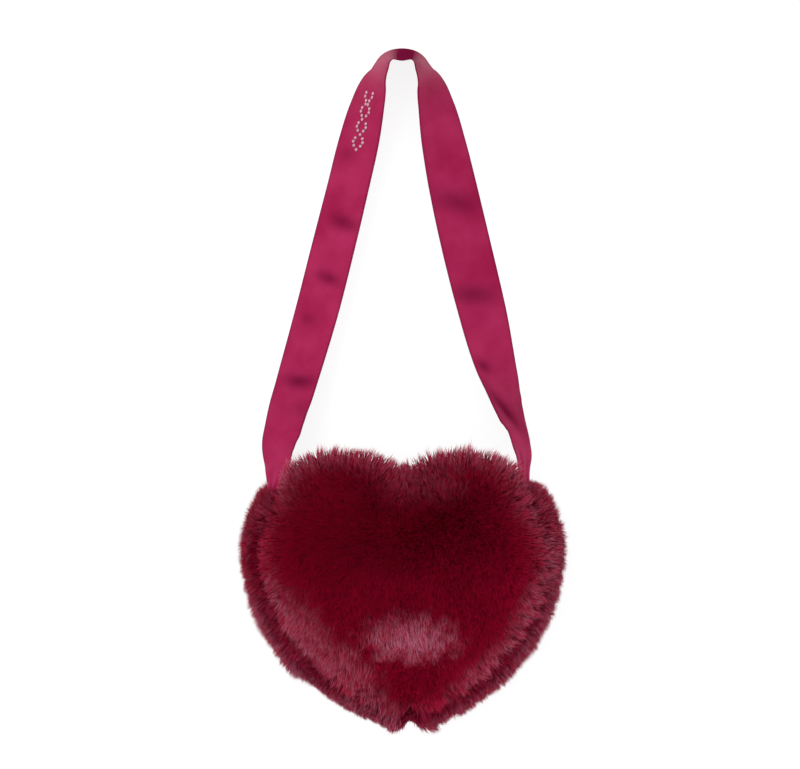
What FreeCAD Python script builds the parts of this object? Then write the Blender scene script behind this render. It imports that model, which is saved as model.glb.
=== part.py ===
import FreeCAD, Part
import math
import os

import Sketcher

# Plush heart purse with a satin ribbon strap, lying on its back.
# X runs across the heart, Y from its tip towards the strap, Z up from the surface it lies on.
# The origin is on the back rest face, under the middle of the heart. All lengths are in millimetres.

SIZES = {
    # Seam line of the heart: two lobes, two flanks, a rounded valley and a rounded tip.
    "lobe_radius": 64,
    "lobe_offset": 42,
    "lobe_rise": 28,
    "flank_radius": 142,
    "flank_angle": 12,
    "valley_radius": 18,
    "tip_radius": 20,
    # Layers from the back to the front, and the pile that stands out of the gusset.
    "back_pile": 7,
    "gusset_width": 44,
    "front_pile": 20,
    "crown_drop": 8,
    "gusset_pile": 12,
    # Hollow of the front where its pile is brushed flat.
    "brushed_length": 58,
    "brushed_width": 30,
    "brushed_depth": 6.5,
    "brushed_aside": 6,
    "brushed_below": 31,
    # Seams and the layers inside.
    "seam_lap": 2,
    "panel_lap": 1.5,
    "wadding_thickness": 3,
    "lining_thickness": 1,
    "sewing_gap": 0.3,
    "overrun": 5,
    # Mouth between the ends of the gusset, and the zip that closes it.
    "mouth_angle": 42,
    "zip_depth": 28,
    "tape_thickness": 0.6,
    "chain_width": 6,
    "chain_thickness": 2.6,
    "open_end_clearance": 1.1,
    "closed_end_clearance": 3.9,
    "tooth_pitch": 3,
    "tooth_root": 1.4,
    "tooth_tip": 1,
    "tooth_lap": 0.9,
    "stop_length": 2.4,
    "stop_overlap": 1.6,
    "stop_shell": 0.5,
    "tab_length": 11,
    "tab_width": 26,
    "tab_thickness": 0.9,
    # Slider, its bridge and its pull.
    "slider_length": 12,
    "slider_width": 10,
    "slider_tail_width": 8,
    "slider_wall": 1.1,
    "slider_lip": 0.7,
    "running_gap": 0.3,
    "wedge_length": 2.6,
    "wedge_width": 2.4,
    "bridge_length": 7,
    "bridge_width": 2,
    "bridge_gap": 2.2,
    "bridge_bar": 1,
    "pull_length": 20,
    "pull_width": 7,
    "pull_neck": 5.2,
    "pull_window": 4.4,
    "pull_bar": 1.2,
    # Ribbon strap: gathered roots at the gusset's ends, legs on the surface, a steep arch at the top.
    "strap_reach": 319.5,
    "strap_seat": 7.8,
    "root_rise": 6,
    "root_width": 10,
    "root_thickness": 3,
    "tail_length": 6,
    "ribbon_width": 38,
    "ribbon_thickness": 1.2,
    # Crystals in a two-strand twist on one leg.
    "crystal_radius": 1.1,
    "crystal_height": 1,
    "crystal_pitch": 2.9,
    "twist_length": 24,
    "twist_width": 9,
}

# Edges are rounded by these shares of the wall that they bound.
PILE_ROUND_SHARE = 0.8
BACK_ROUND_SHARE = 0.6
FRONT_ROUND_SHARE = 0.8
SMALL_ROUND_SHARE = 0.25
# The hollow is as deep as this share of the half height of the ellipsoid that cuts it.
HOLLOW_CAP_SHARE = 0.5

# Each station of a leg of the strap from its root to the top of the arch: shares of strap_reach and of the
# root's distance from the middle, and the shares of ribbon_width and of the root's height that it has there.
LEFT_SHARES = [
    (0.0000, 1.000, 0.00, 1.00),
    (0.0160, 1.004, 0.05, 1.00),
    (0.0380, 1.010, 0.48, 0.76),
    (0.0610, 1.012, 0.61, 0.47),
    (0.0890, 1.007, 0.75, 0.26),
    (0.1160, 0.988, 0.86, 0.13),
    (0.1420, 0.968, 0.93, 0.06),
    (0.1680, 0.943, 0.98, 0.02),
    (0.1960, 0.910, 1.00, 0.00),
    (0.2550, 0.849, 1.00, 0.00),
    (0.4000, 0.705, 1.00, 0.00),
    (0.5450, 0.576, 1.00, 0.00),
    (0.6900, 0.450, 1.00, 0.00),
    (0.8000, 0.358, 1.00, 0.00),
    (0.8850, 0.285, 1.00, 0.00),
    (0.9320, 0.236, 1.00, 0.00),
    (0.9620, 0.188, 1.00, 0.00),
    (0.9830, 0.154, 1.00, 0.00),
    (0.9930, 0.118, 1.00, 0.00),
]
RIGHT_SHARES = [
    (0.0000, 1.000, 0.00, 1.00),
    (0.0160, 0.998, 0.04, 1.00),
    (0.0380, 0.992, 0.19, 0.80),
    (0.0610, 0.988, 0.30, 0.54),
    (0.0890, 0.977, 0.40, 0.32),
    (0.1160, 0.954, 0.53, 0.16),
    (0.1420, 0.921, 0.73, 0.07),
    (0.1680, 0.886, 0.92, 0.02),
    (0.1960, 0.850, 1.00, 0.00),
    (0.2550, 0.790, 1.00, 0.00),
    (0.4000, 0.668, 1.00, 0.00),
    (0.5450, 0.545, 1.00, 0.00),
    (0.6900, 0.428, 1.00, 0.00),
    (0.8000, 0.345, 1.00, 0.00),
    (0.8850, 0.282, 1.00, 0.00),
    (0.9320, 0.236, 1.00, 0.00),
    (0.9620, 0.188, 1.00, 0.00),
    (0.9830, 0.154, 1.00, 0.00),
    (0.9930, 0.118, 1.00, 0.00),
]
# Tilt of the ribbon at those stations, in degrees: 0 lies flat and 90 stands on its outer edge.
LEFT_TILTS = [90, 60, 36, 32, 32, 33, 34, 35, 34, 32, 28, 28, 31, 34, 45, 55, 66, 69, 67]
RIGHT_TILTS = [90, 66, 53, 50, 50, 50, 50, 49, 47, 36, 14, 6, 14, 27, 42, 53, 65, 69, 67]
ARCH_TILT = 63
STRAP_STEPS = 120

# The crystals' twist, as shares of the strap's length from its left root.
TWIST_START_SHARE = 0.385
TWIST_TURNS = 2

document = FreeCAD.newDocument("HeartPurse")
sheet = document.addObject("Spreadsheet::Sheet", "Sizes")
for row, (alias, value) in enumerate(SIZES.items(), 1):
    sheet.set(f"A{row}", alias)
    sheet.set(f"B{row}", str(value))
    sheet.setAlias(f"B{row}", alias)
document.recompute()


def size(alias):
    """The value of one cell of the sheet."""
    return float(sheet.get(alias))


def cells(words):
    """An expression with each name of the sheet led by the sheet's own name."""
    return " ".join(f"Sizes.{word}" if word in SIZES else word for word in words.split())


def bind(target, **expressions):
    """Binds properties to expressions of the sheet; two underscores stand for a dot."""
    for name, words in expressions.items():
        target.setExpression(name.replace("__", "."), cells(words))


# Levels of the layers, as expressions of the sheet.
GUSSET_TOP = "( back_pile + gusset_width )"
MIDDLE = "( back_pile + gusset_width / 2 )"
LINING_LOW = "( back_pile + wadding_thickness + lining_thickness )"
LINING_HIGH = "( back_pile + gusset_width - wadding_thickness - lining_thickness )"
LINING_INSET = "( seam_lap + sewing_gap )"
ZIP_RISE = "( lobe_rise + lobe_radius - zip_depth )"


def level(words):
    """The value of an expression of the sheet."""
    return float(sheet.evalExpression(" ".join(str(size(w)) if w in SIZES else w for w in words.split())))


def plane(body, role):
    """One of a body's own origin planes or axes."""
    return next(item for item in body.Origin.OriginFeatures if item.Role == role)


def new_sketch(body, name, role, offset="0"):
    """A sketch on one of the body's origin planes, moved along the plane's normal."""
    sketch = body.newObject("Sketcher::SketchObject", name)
    sketch.AttachmentSupport = (plane(body, role), [""])
    sketch.MapMode = "FlatFace"
    bind(sketch, AttachmentOffset__Base__z=offset)
    return sketch


def new_body(label):
    """An empty body with a label."""
    body = document.addObject("PartDesign::Body", label)
    body.Label = label
    return body


def pad(body, sketch, length, midplane=False):
    """Pads a sketch to a length of the sheet."""
    feature = body.newObject("PartDesign::Pad", sketch.Name + "Pad")
    feature.Profile = sketch
    feature.SideType = "Symmetric" if midplane else "One side"
    bind(feature, Length=length)
    sketch.Visibility = False
    document.recompute()
    return feature


def round_edges(body, base, chosen, radius):
    """Fillets the edges of a feature for which chosen(edge) holds."""
    names = [f"Edge{n}" for n, edge in enumerate(base.Shape.Edges, 1) if chosen(edge)]
    feature = body.newObject("PartDesign::Fillet", body.Name + "Round")
    feature.Base = (base, names)
    bind(feature, Radius=radius)
    document.recompute()
    return feature


def at_level(height):
    """A test for edges that lie at one height."""
    return lambda edge: all(abs(v.Z - height) < Part.Precision.confusion() for v in edge.Vertexes)


class Heart:
    """Centres and angles of the six arcs of the heart's seam line."""

    def __init__(self):
        lobe = size("lobe_radius")
        flank = size("flank_radius")
        turn = math.radians(size("flank_angle"))
        self.lobe = FreeCAD.Vector(size("lobe_offset"), size("lobe_rise"), 0)
        back = flank - lobe
        self.flank = self.lobe - FreeCAD.Vector(math.cos(turn), -math.sin(turn), 0) * back
        rise = math.sqrt((lobe + size("valley_radius")) ** 2 - self.lobe.x**2)
        self.valley = FreeCAD.Vector(0, self.lobe.y + rise, 0)
        fall = math.sqrt((flank - size("tip_radius")) ** 2 - self.flank.x**2)
        self.tip = FreeCAD.Vector(0, self.flank.y - fall, 0)
        self.side_angle = -turn
        self.valley_angle = math.atan2(rise, -self.lobe.x)
        self.tip_angle = math.atan2(-fall, -self.flank.x)

    def arcs(self, offset):
        """The arcs, anticlockwise from the right flank, at an offset outwards from the seam line."""
        right_lobe = (self.lobe, size("lobe_radius") + offset, self.side_angle, self.valley_angle)
        right_flank = (self.flank, size("flank_radius") + offset, self.tip_angle, self.side_angle)
        valley_turn = self.valley_angle - math.pi
        valley = (self.valley, size("valley_radius") - offset, -math.pi - valley_turn, valley_turn)
        tip = (self.tip, size("tip_radius") + offset, -math.pi - self.tip_angle, self.tip_angle)
        return [right_flank, right_lobe, valley, mirrored(right_lobe), mirrored(right_flank), tip]


def mirrored(arc):
    """An arc on the other side of the heart's middle."""
    centre, radius, start, end = arc
    return FreeCAD.Vector(-centre.x, centre.y, 0), radius, math.pi - end, math.pi - start


HEART = Heart()


def heart_sketch(body, offset, height):
    """The heart's outline at an offset from its seam line: six tangent arcs, fixed by the sheet."""
    sketch = new_sketch(body, body.Name + "Outline", "XY_Plane", height)
    for centre, radius, start, end in HEART.arcs(level(offset)):
        circle = Part.Circle(centre, FreeCAD.Vector(0, 0, 1), radius)
        sketch.addGeometry(Part.ArcOfCircle(circle, start, end), False)
    flank, lobe, valley, left_lobe, left_flank, tip = range(6)
    start, end, centre = 1, 2, 3
    for first, second, second_end in (
        (flank, lobe, start),
        (lobe, valley, end),
        (left_lobe, left_flank, start),
        (left_flank, tip, start),
    ):
        sketch.addConstraint(Sketcher.Constraint("Tangent", first, end, second, second_end))
    sketch.addConstraint(Sketcher.Constraint("Tangent", valley, start, left_lobe, start))
    sketch.addConstraint(Sketcher.Constraint("Tangent", tip, end, flank, start))
    origin, y_axis = -1, -2
    sketch.addConstraint(Sketcher.Constraint("Symmetric", lobe, centre, left_lobe, centre, y_axis))
    sketch.addConstraint(Sketcher.Constraint("PointOnObject", tip, centre, y_axis))
    named = {
        "lobe": (("Radius", lobe), f"lobe_radius + {offset}"),
        "left_lobe": (("Radius", left_lobe), f"lobe_radius + {offset}"),
        "flank": (("Radius", flank), f"flank_radius + {offset}"),
        "left_flank": (("Radius", left_flank), f"flank_radius + {offset}"),
        "valley": (("Radius", valley), f"valley_radius - {offset}"),
        "tip": (("Radius", tip), f"tip_radius + {offset}"),
        "across": (("DistanceX", origin, start, lobe, centre), "lobe_offset"),
        "along": (("DistanceY", origin, start, lobe, centre), "lobe_rise"),
        "turn": (
            ("DistanceY", lobe, centre, flank, centre),
            "( flank_radius - lobe_radius ) * sin( flank_angle * 1deg )",
        ),
    }
    for name, (terms, words) in named.items():
        number = sketch.addConstraint(Sketcher.Constraint(*terms, level(words)))
        sketch.renameConstraint(number, name)
        sketch.setExpression(f"Constraints.{name}", cells(words))
    return sketch


def heart_plate(label, offset, height, thickness):
    """A flat heart: one layer of the purse."""
    body = new_body(label)
    pad(body, heart_sketch(body, offset, height), thickness)
    return body


def box(label, low, lengths):
    """A box from the expressions of its low corner and of its three lengths."""
    item = document.addObject("Part::Box", label)
    item.Label = label
    bind(item, Length=lengths[0], Width=lengths[1], Height=lengths[2])
    bind(item, Placement__Base__x=low[0], Placement__Base__y=low[1], Placement__Base__z=low[2])
    return item


def cut(label, base, tool):
    """One object less another."""
    item = document.addObject("Part::Cut", label)
    item.Label = label
    item.Base = base
    item.Tool = tool
    return item


def fuse(label, *shapes):
    """Several objects as one."""
    item = document.addObject("Part::MultiFuse", label)
    item.Label = label
    item.Shapes = list(shapes)
    item.Refine = True
    return item


def common(label, first, second):
    """What two objects share."""
    item = document.addObject("Part::MultiCommon", label)
    item.Label = label
    item.Shapes = [first, second]
    return item


def back_fur_panel():
    """The back panel: its pile is pressed flat by the purse's weight and rounds up at the rim."""
    body = heart_plate("back_fur_panel", "panel_lap", "0", "back_pile")
    round_edges(body, body.Tip, at_level(0), f"back_pile * {BACK_ROUND_SHARE}")
    return body


def front_fur_panel():
    """The front panel: a pad cut to a shallow dome, rounded along its rim and hollowed where it is brushed."""
    body = heart_plate("front_fur_panel", "panel_lap", GUSSET_TOP, "front_pile + overrun")
    flat = body.Tip
    sketch = new_sketch(body, "CrownProfile", "XZ_Plane")
    top = level(f"{GUSSET_TOP} + front_pile")
    lid = top + size("overrun") * 2
    span = HEART.lobe.Length + size("lobe_radius") + size("panel_lap")
    reach = span + size("overrun")
    radius = (span**2 + size("crown_drop") ** 2) / (2 * size("crown_drop"))
    circle = Part.Circle(FreeCAD.Vector(0, top - radius, 0), FreeCAD.Vector(0, 0, 1), radius)
    dome = Part.ArcOfCircle(circle, math.acos(reach / radius), math.pi / 2)
    low_corner = FreeCAD.Vector(reach, top - radius + math.sqrt(radius**2 - reach**2), 0)
    corners = [FreeCAD.Vector(x, y, 0) for x, y in ((0, top), (0, lid), (reach, lid))]
    corners.append(low_corner)
    sketch.addGeometry(dome, False)
    for first, second in zip(corners, corners[1:]):
        sketch.addGeometry(Part.LineSegment(first, second), False)
    groove = body.newObject("PartDesign::Groove", "Crown")
    groove.Profile = sketch
    groove.ReferenceAxis = (plane(body, "Z_Axis"), [""])
    groove.Angle = 360
    document.recompute()
    assert groove.Shape.Volume < flat.Shape.Volume, "the crown cuts nothing"
    wall = min(vertex.Z for vertex in groove.Shape.Vertexes)
    rim = lambda edge: all(
        vertex.Z > wall + size("sewing_gap") and math.hypot(vertex.X, vertex.Y) > size("lobe_rise")
        for vertex in edge.Vertexes
    )
    rounded = round_edges(body, groove, rim, f"( front_pile - crown_drop ) * {FRONT_ROUND_SHARE}")
    brushed_hollow(body)
    assert body.Shape.Volume < rounded.Shape.Volume, "the brushed hollow cuts nothing"
    return body


def brushed_hollow(body):
    """The hollow in the front's crown where the pile is brushed flat: the cap of an ellipsoid, cut away."""
    brim = math.asin(1 - HOLLOW_CAP_SHARE)
    span_share = math.cos(brim)
    hollow = body.newObject("PartDesign::SubtractiveEllipsoid", "BrushedHollow")
    hollow.AttachmentSupport = (plane(body, "XY_Plane"), [""])
    hollow.MapMode = "FlatFace"
    hollow.Angle2 = -math.degrees(brim)
    bind(
        hollow,
        Radius1=f"brushed_depth / {HOLLOW_CAP_SHARE}",
        Radius2=f"brushed_length / 2 / {span_share}",
        Radius3=f"brushed_width / 2 / {span_share}",
        AttachmentOffset__Base__x="brushed_aside",
        AttachmentOffset__Base__y="-1 * brushed_below",
        AttachmentOffset__Base__z=f"{GUSSET_TOP} + front_pile + brushed_depth * {1 / HOLLOW_CAP_SHARE - 1}",
    )
    document.recompute()


def gussets():
    """The two halves of the gusset: a padded rim round the heart, open at the mouth, parted at the tip."""
    rim = heart_plate("RimOutside", "gusset_pile", "back_pile", "gusset_width")
    ends = (level("back_pile"), level(GUSSET_TOP))
    both = lambda edge: any(at_level(height)(edge) for height in ends)
    round_edges(rim, rim.Tip, both, f"gusset_pile * {PILE_ROUND_SHARE}")
    core = heart_plate("RimInside", "- seam_lap", "back_pile - overrun", "gusset_width + 2 * overrun")
    ring = cut("Rim", cut("RimRing", rim, core), mouth_wedge())
    halves = []
    for label, side in (("left", -1), ("right", 1)):
        half = box(
            f"Half_{label}",
            ("-1 * flank_radius" if side < 0 else "0", "-1 * flank_radius", "0"),
            ("flank_radius", "2 * flank_radius", f"{GUSSET_TOP} + overrun"),
        )
        halves.append(cut(f"gusset_{label}", common(f"Rim_{label}", ring, half), TAILS[label]))
    return halves


def mouth_wedge():
    """The space over the mouth, between the lines on which the gusset ends."""
    body = new_body("MouthWedge")
    sketch = new_sketch(body, "MouthOutline", "XY_Plane", "back_pile - overrun")
    turn = math.radians(size("mouth_angle"))
    reach = HEART.lobe + FreeCAD.Vector(math.cos(turn), math.sin(turn), 0) * size("flank_radius")
    corners = [HEART.lobe, reach, flipped(reach), flipped(HEART.lobe)]
    closed_outline(sketch, corners)
    pad(body, sketch, "gusset_width + 2 * overrun")
    return body


def flipped(point):
    """A point on the other side of the heart's middle."""
    return FreeCAD.Vector(-point.x, point.y, point.z)


def closed_outline(sketch, corners):
    """Draws straight lines round a list of corners."""
    for first, second in zip(corners, corners[1:] + corners[:1]):
        sketch.addGeometry(Part.LineSegment(first, second), False)


def layers():
    """Wadding and lining of the two panels, and the lining that runs round inside the gusset."""
    plates = (
        ("back_wadding", "back_pile", "wadding_thickness"),
        ("lining_back", "back_pile + wadding_thickness", "lining_thickness"),
        ("front_wadding", f"{GUSSET_TOP} - wadding_thickness", "wadding_thickness"),
        ("lining_front", LINING_HIGH, "lining_thickness"),
    )
    made = [heart_plate(label, f"- {LINING_INSET}", low, thick) for label, low, thick in plates]
    depth = f"{LINING_HIGH} - {LINING_LOW}"
    outside = heart_plate("LiningOutside", f"- {LINING_INSET}", LINING_LOW, depth)
    inside = heart_plate(
        "LiningInside",
        f"- ( {LINING_INSET} + lining_thickness )",
        f"{LINING_LOW} - overrun",
        f"{depth} + 2 * overrun",
    )
    made.append(cut("lining_gusset", cut("LiningRing", outside, inside), mouth_wedge()))
    return made


# Half of the zip's length under its end tabs: the tabs' far corners stop short of the lining.
TAB_END = (
    "( lobe_offset + sqrt( ( lobe_radius - seam_lap - 2 * sewing_gap - lining_thickness ) ^ 2"
    " - ( lobe_radius - zip_depth + tape_thickness / 2 + tab_thickness ) ^ 2 ) )"
)
TAPE_END = f"( {TAB_END} - tab_thickness )"
TAPE_LOW = f"( {ZIP_RISE} - tape_thickness / 2 )"
# Distances from the middle to the first tooth and to the closed slider, between the stops and the tabs.
STOP_ROOM = f"( {TAB_END} - tab_length - stop_length )"
CHAIN_START = f"( {STOP_ROOM} - open_end_clearance - tooth_pitch )"
SLIDER_PLACE = f"( {STOP_ROOM} - closed_end_clearance - running_gap - slider_length / 2 )"
SHELL_HALF = "( chain_thickness / 2 + stop_shell )"


def zip_tapes():
    """The two woven tapes, from the teeth to the lining of each panel."""
    length = f"2 * {TAPE_END}"
    front_edge = f"{MIDDLE} + chain_width / 2"
    front = box(
        "zip_tape_front",
        (f"-1 * {TAPE_END}", TAPE_LOW, front_edge),
        (length, "tape_thickness", f"{LINING_HIGH} - ( {front_edge} )"),
    )
    back = box(
        "zip_tape_back",
        (f"-1 * {TAPE_END}", TAPE_LOW, LINING_LOW),
        (length, "tape_thickness", f"{MIDDLE} - chain_width / 2 - {LINING_LOW}"),
    )
    return [front, back]


def zip_teeth(label, side):
    """One row of moulded teeth, tapered towards its tips, half a pitch apart from the other row."""
    body = new_body(label)
    sketch = new_sketch(body, label + "Tooth", "XZ_Plane", f"-1 * {ZIP_RISE}")
    middle = level(MIDDLE)
    root = middle + side * size("chain_width") / 2
    tip = middle - side * size("tooth_lap")
    start = -level(CHAIN_START) + (size("tooth_pitch") / 2 if side > 0 else 0)
    half_root = size("tooth_root") / 2
    half_tip = size("tooth_tip") / 2
    corners = [(-half_root, root), (half_root, root), (half_tip, tip), (-half_tip, tip)]
    closed_outline(sketch, [FreeCAD.Vector(start + x, z, 0) for x, z in corners])
    tooth = pad(body, sketch, "chain_thickness", midplane=True)
    row = body.newObject("PartDesign::LinearPattern", label + "Row")
    row.Originals = [tooth]
    row.Direction = (plane(body, "X_Axis"), [""])
    room = level(f"{SLIDER_PLACE} + {CHAIN_START}")
    count = int(room // size("tooth_pitch"))
    row.Occurrences = count
    row.Length = (count - 1) * size("tooth_pitch")
    body.Tip = row
    document.recompute()
    return body


def zip_stops(tapes):
    """Crimped stops: one on each tape at the closed end, and one across both at the open end."""
    shell = f"2 * {SHELL_HALF}"
    low = f"{ZIP_RISE} - {SHELL_HALF}"
    start = f"{SLIDER_PLACE} + slider_length / 2 + running_gap"
    lengths = ("stop_length", shell, "stop_overlap + stop_shell")
    front_low = f"{MIDDLE} + chain_width / 2 - stop_shell"
    back_low = f"{MIDDLE} - chain_width / 2 - stop_overlap"
    tops = [
        box("TopStopFront", (start, low, front_low), lengths),
        box("TopStopBack", (start, low, back_low), lengths),
    ]
    top = cut("zip_top_stops", fuse("TopStops", *tops), fuse("TapesAtTop", *tapes))
    bottom = cut(
        "zip_bottom_stop",
        box(
            "BottomStop",
            (f"-1 * ( {CHAIN_START} + tooth_pitch + stop_length )", low, back_low),
            ("stop_length", shell, "chain_width + 2 * stop_overlap"),
        ),
        fuse("TapesAtBottom", *tapes),
    )
    return [top, bottom]


def zip_end_tabs(tapes):
    """Fabric tabs folded over the ends of the tapes."""
    tabs = []
    for label, start in (("left", f"-1 * {TAB_END}"), ("right", f"{TAB_END} - tab_length")):
        fold = box(
            f"TabFold_{label}",
            (start, f"{TAPE_LOW} - tab_thickness", f"{MIDDLE} - tab_width / 2"),
            ("tab_length", "tape_thickness + 2 * tab_thickness", "tab_width"),
        )
        slot = box(
            f"TabSlot_{label}",
            (f"-1 * {TAPE_END}", TAPE_LOW, f"{MIDDLE} - tab_width"),
            (f"2 * {TAPE_END}", "tape_thickness", "2 * tab_width"),
        )
        tabs.append(cut(f"zip_end_tab_{label}", fold, slot))
    return tabs


# Heights of the slider above and below the tape's plane.
CHANNEL_HALF = "( chain_thickness / 2 + running_gap )"
SLIDER_HALF = "( chain_thickness / 2 + running_gap + slider_wall )"


def zip_slider():
    """The slider: a tapered shell round the chain, with lips beside the tapes, a wedge and a bridge."""
    body = new_body("SliderShell")
    sketch = new_sketch(body, "SliderOutline", "XZ_Plane", f"-1 * {ZIP_RISE}")
    middle = level(MIDDLE)
    nose = level(SLIDER_PLACE) + size("slider_length") / 2
    tail = nose - size("slider_length")
    shoulder = nose - size("wedge_length")
    wide = size("slider_width") / 2
    narrow = size("slider_tail_width") / 2
    half = [(tail, narrow), (shoulder, wide), (nose, wide)]
    corners = half + [(x, -z) for x, z in reversed(half)]
    closed_outline(sketch, [FreeCAD.Vector(x, middle + z, 0) for x, z in corners])
    shell = pad(body, sketch, f"2 * {SLIDER_HALF}", midplane=True)
    outer = (level(f"{ZIP_RISE} - {SLIDER_HALF}"), level(f"{ZIP_RISE} + {SLIDER_HALF}"))
    flat = lambda edge: any(
        all(abs(v.Y - face) < Part.Precision.confusion() for v in edge.Vertexes) for face in outer
    )
    round_edges(body, shell, flat, f"slider_wall * {SMALL_ROUND_SHARE}")
    start = f"{SLIDER_PLACE} - slider_length / 2"
    channel = box(
        "SliderChannel",
        (f"{start} - overrun", f"{ZIP_RISE} - {CHANNEL_HALF}", f"{MIDDLE} - chain_width / 2 - running_gap"),
        ("slider_length + 2 * overrun", f"2 * {CHANNEL_HALF}", "chain_width + 2 * running_gap"),
    )
    slot = box(
        "SliderSlot",
        (f"{start} - overrun", f"{ZIP_RISE} - slider_lip", f"{MIDDLE} - slider_width"),
        ("slider_length + 2 * overrun", "2 * slider_lip", "2 * slider_width"),
    )
    wedge = box(
        "SliderWedge",
        (
            f"{SLIDER_PLACE} + slider_length / 2 - wedge_length",
            f"{ZIP_RISE} - {CHANNEL_HALF} - slider_wall / 2",
            f"{MIDDLE} - wedge_width / 2",
        ),
        ("wedge_length", f"2 * {CHANNEL_HALF} + slider_wall", "wedge_width"),
    )
    bridge = box(
        "BridgeBlock",
        (
            f"{SLIDER_PLACE} - bridge_length / 2",
            f"{ZIP_RISE} + {CHANNEL_HALF} + slider_wall / 2",
            f"{MIDDLE} - bridge_width / 2",
        ),
        ("bridge_length", "slider_wall / 2 + bridge_gap + bridge_bar", "bridge_width"),
    )
    arch = box(
        "BridgeArch",
        (
            f"{SLIDER_PLACE} - bridge_length / 2 + bridge_bar",
            f"{ZIP_RISE} + {SLIDER_HALF}",
            f"{MIDDLE} - bridge_width",
        ),
        ("bridge_length - 2 * bridge_bar", "bridge_gap", "2 * bridge_width"),
    )
    hollow = cut("SliderHollow", cut("SliderOpen", body, channel), slot)
    return fuse("zip_slider", hollow, wedge, cut("Bridge", bridge, arch))


def zip_pull():
    """The pull: a rounded tab whose window hangs its bar under the slider's bridge."""
    body = new_body("zip_pull")
    pivot = f"( {ZIP_RISE} + {SLIDER_HALF} + bridge_gap / 2 )"
    sketch = new_sketch(body, "PullOutline", "XZ_Plane", f"-1 * {pivot}")
    bar = size("pull_bar")
    axis = level(SLIDER_PLACE)
    middle = level(MIDDLE)
    neck = size("pull_neck") / 2
    wide = size("pull_width") / 2
    head = axis - size("pull_window") - bar
    end = axis - size("pull_length") + wide
    half = [(axis + bar / 2, neck), (head, neck), (end, wide)]
    points = [FreeCAD.Vector(x, middle + z, 0) for x, z in half]
    lower = [FreeCAD.Vector(x, middle - z, 0) for x, z in half]
    lines = [(lower[0], points[0]), (points[0], points[1]), (points[1], points[2])]
    lines += [(lower[2], lower[1]), (lower[1], lower[0])]
    for first, second in lines:
        sketch.addGeometry(Part.LineSegment(first, second), False)
    tip = FreeCAD.Vector(axis - size("pull_length"), middle, 0)
    sketch.addGeometry(Part.Arc(points[2], tip, lower[2]), False)
    window = size("bridge_width") / 2 + size("running_gap")
    near = axis - bar / 2
    far = near - size("pull_window")
    corners = [(near, window), (far, window), (far, -window), (near, -window)]
    closed_outline(sketch, [FreeCAD.Vector(x, middle + z, 0) for x, z in corners])
    plate = pad(body, sketch, "pull_bar", midplane=True)
    behind = lambda edge: all(v.X < axis - size("pull_window") - bar * 2 for v in edge.Vertexes)
    round_edges(body, plate, behind, f"pull_bar * {SMALL_ROUND_SHARE}")
    return body


def strap_root():
    """Where the right end of the strap bends, in the middle of the gusset's width."""
    turn = math.radians(size("mouth_angle"))
    out = FreeCAD.Vector(math.cos(turn), math.sin(turn), 0)
    along = FreeCAD.Vector(-math.sin(turn), math.cos(turn), 0)
    root = HEART.lobe + out * (size("lobe_radius") + size("strap_seat")) + along * size("root_rise")
    return FreeCAD.Vector(root.x, root.y, level(MIDDLE))


ROOT = strap_root()


def strap_tail(label, side):
    """The end of the ribbon, gathered to a narrow stack and sewn into the end of the gusset."""
    tail = document.addObject("Part::Box", label)
    tail.Label = label
    bind(tail, Length="root_thickness", Width="tail_length", Height="root_width")
    low = FreeCAD.Vector(
        side * ROOT.x - size("root_thickness") / 2,
        ROOT.y - size("root_width") / 2 - size("sewing_gap") - size("tail_length"),
        ROOT.z - size("root_width") / 2,
    )
    tail.Placement = FreeCAD.Placement(low, FreeCAD.Rotation())
    return tail


def strap_section(wide_share):
    """Width and thickness of the ribbon, between its gathered root and its full width."""
    width = size("root_width") + wide_share * (size("ribbon_width") - size("root_width"))
    thickness = size("root_thickness") + wide_share * (size("ribbon_thickness") - size("root_thickness"))
    return width, thickness


def strap_stations():
    """The ribbon from its left root over the arch to its right root: its centres, and tilts with widths."""
    legs = []
    for side, shares, tilts in ((-1, LEFT_SHARES, LEFT_TILTS), (1, RIGHT_SHARES, RIGHT_TILTS)):
        leg = []
        for (reach, span, wide, high), tilt in zip(shares, tilts):
            y = ROOT.y + reach * size("strap_reach")
            leg.append(station(side * span * ROOT.x, y, high, tilt, wide))
        legs.append(leg)
    arch = station(0, ROOT.y + size("strap_reach"), 0, ARCH_TILT, 1)
    return legs[0] + [arch] + legs[1][::-1]


def station(x, y, high_share, tilt, wide_share):
    """One station: the ribbon stands on its outer edge, or is a share of the way up to the root."""
    turn = math.radians(tilt)
    width, thickness = strap_section(wide_share)
    foot = width / 2 * math.sin(turn) + thickness / 2 * math.cos(turn) + size("sewing_gap")
    centre = FreeCAD.Vector(x, y, foot + high_share * (ROOT.z - foot))
    return centre, (tilt, wide_share)


def strap_curves():
    """Smooth curves through the stations: one of places, one of tilt and width."""
    centres, sections = zip(*strap_stations())
    steps = [(b - a).Length for a, b in zip(centres, centres[1:])]
    shares = [sum(steps[:n]) / sum(steps) for n in range(len(centres))]
    places = Part.BSplineCurve()
    places.interpolate(Points=list(centres), Parameters=shares)
    profiles = Part.BSplineCurve()
    turns = [FreeCAD.Vector(tilt, wide, share) for (tilt, wide), share in zip(sections, shares)]
    profiles.interpolate(Points=turns, Parameters=shares)
    return places, profiles


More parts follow.
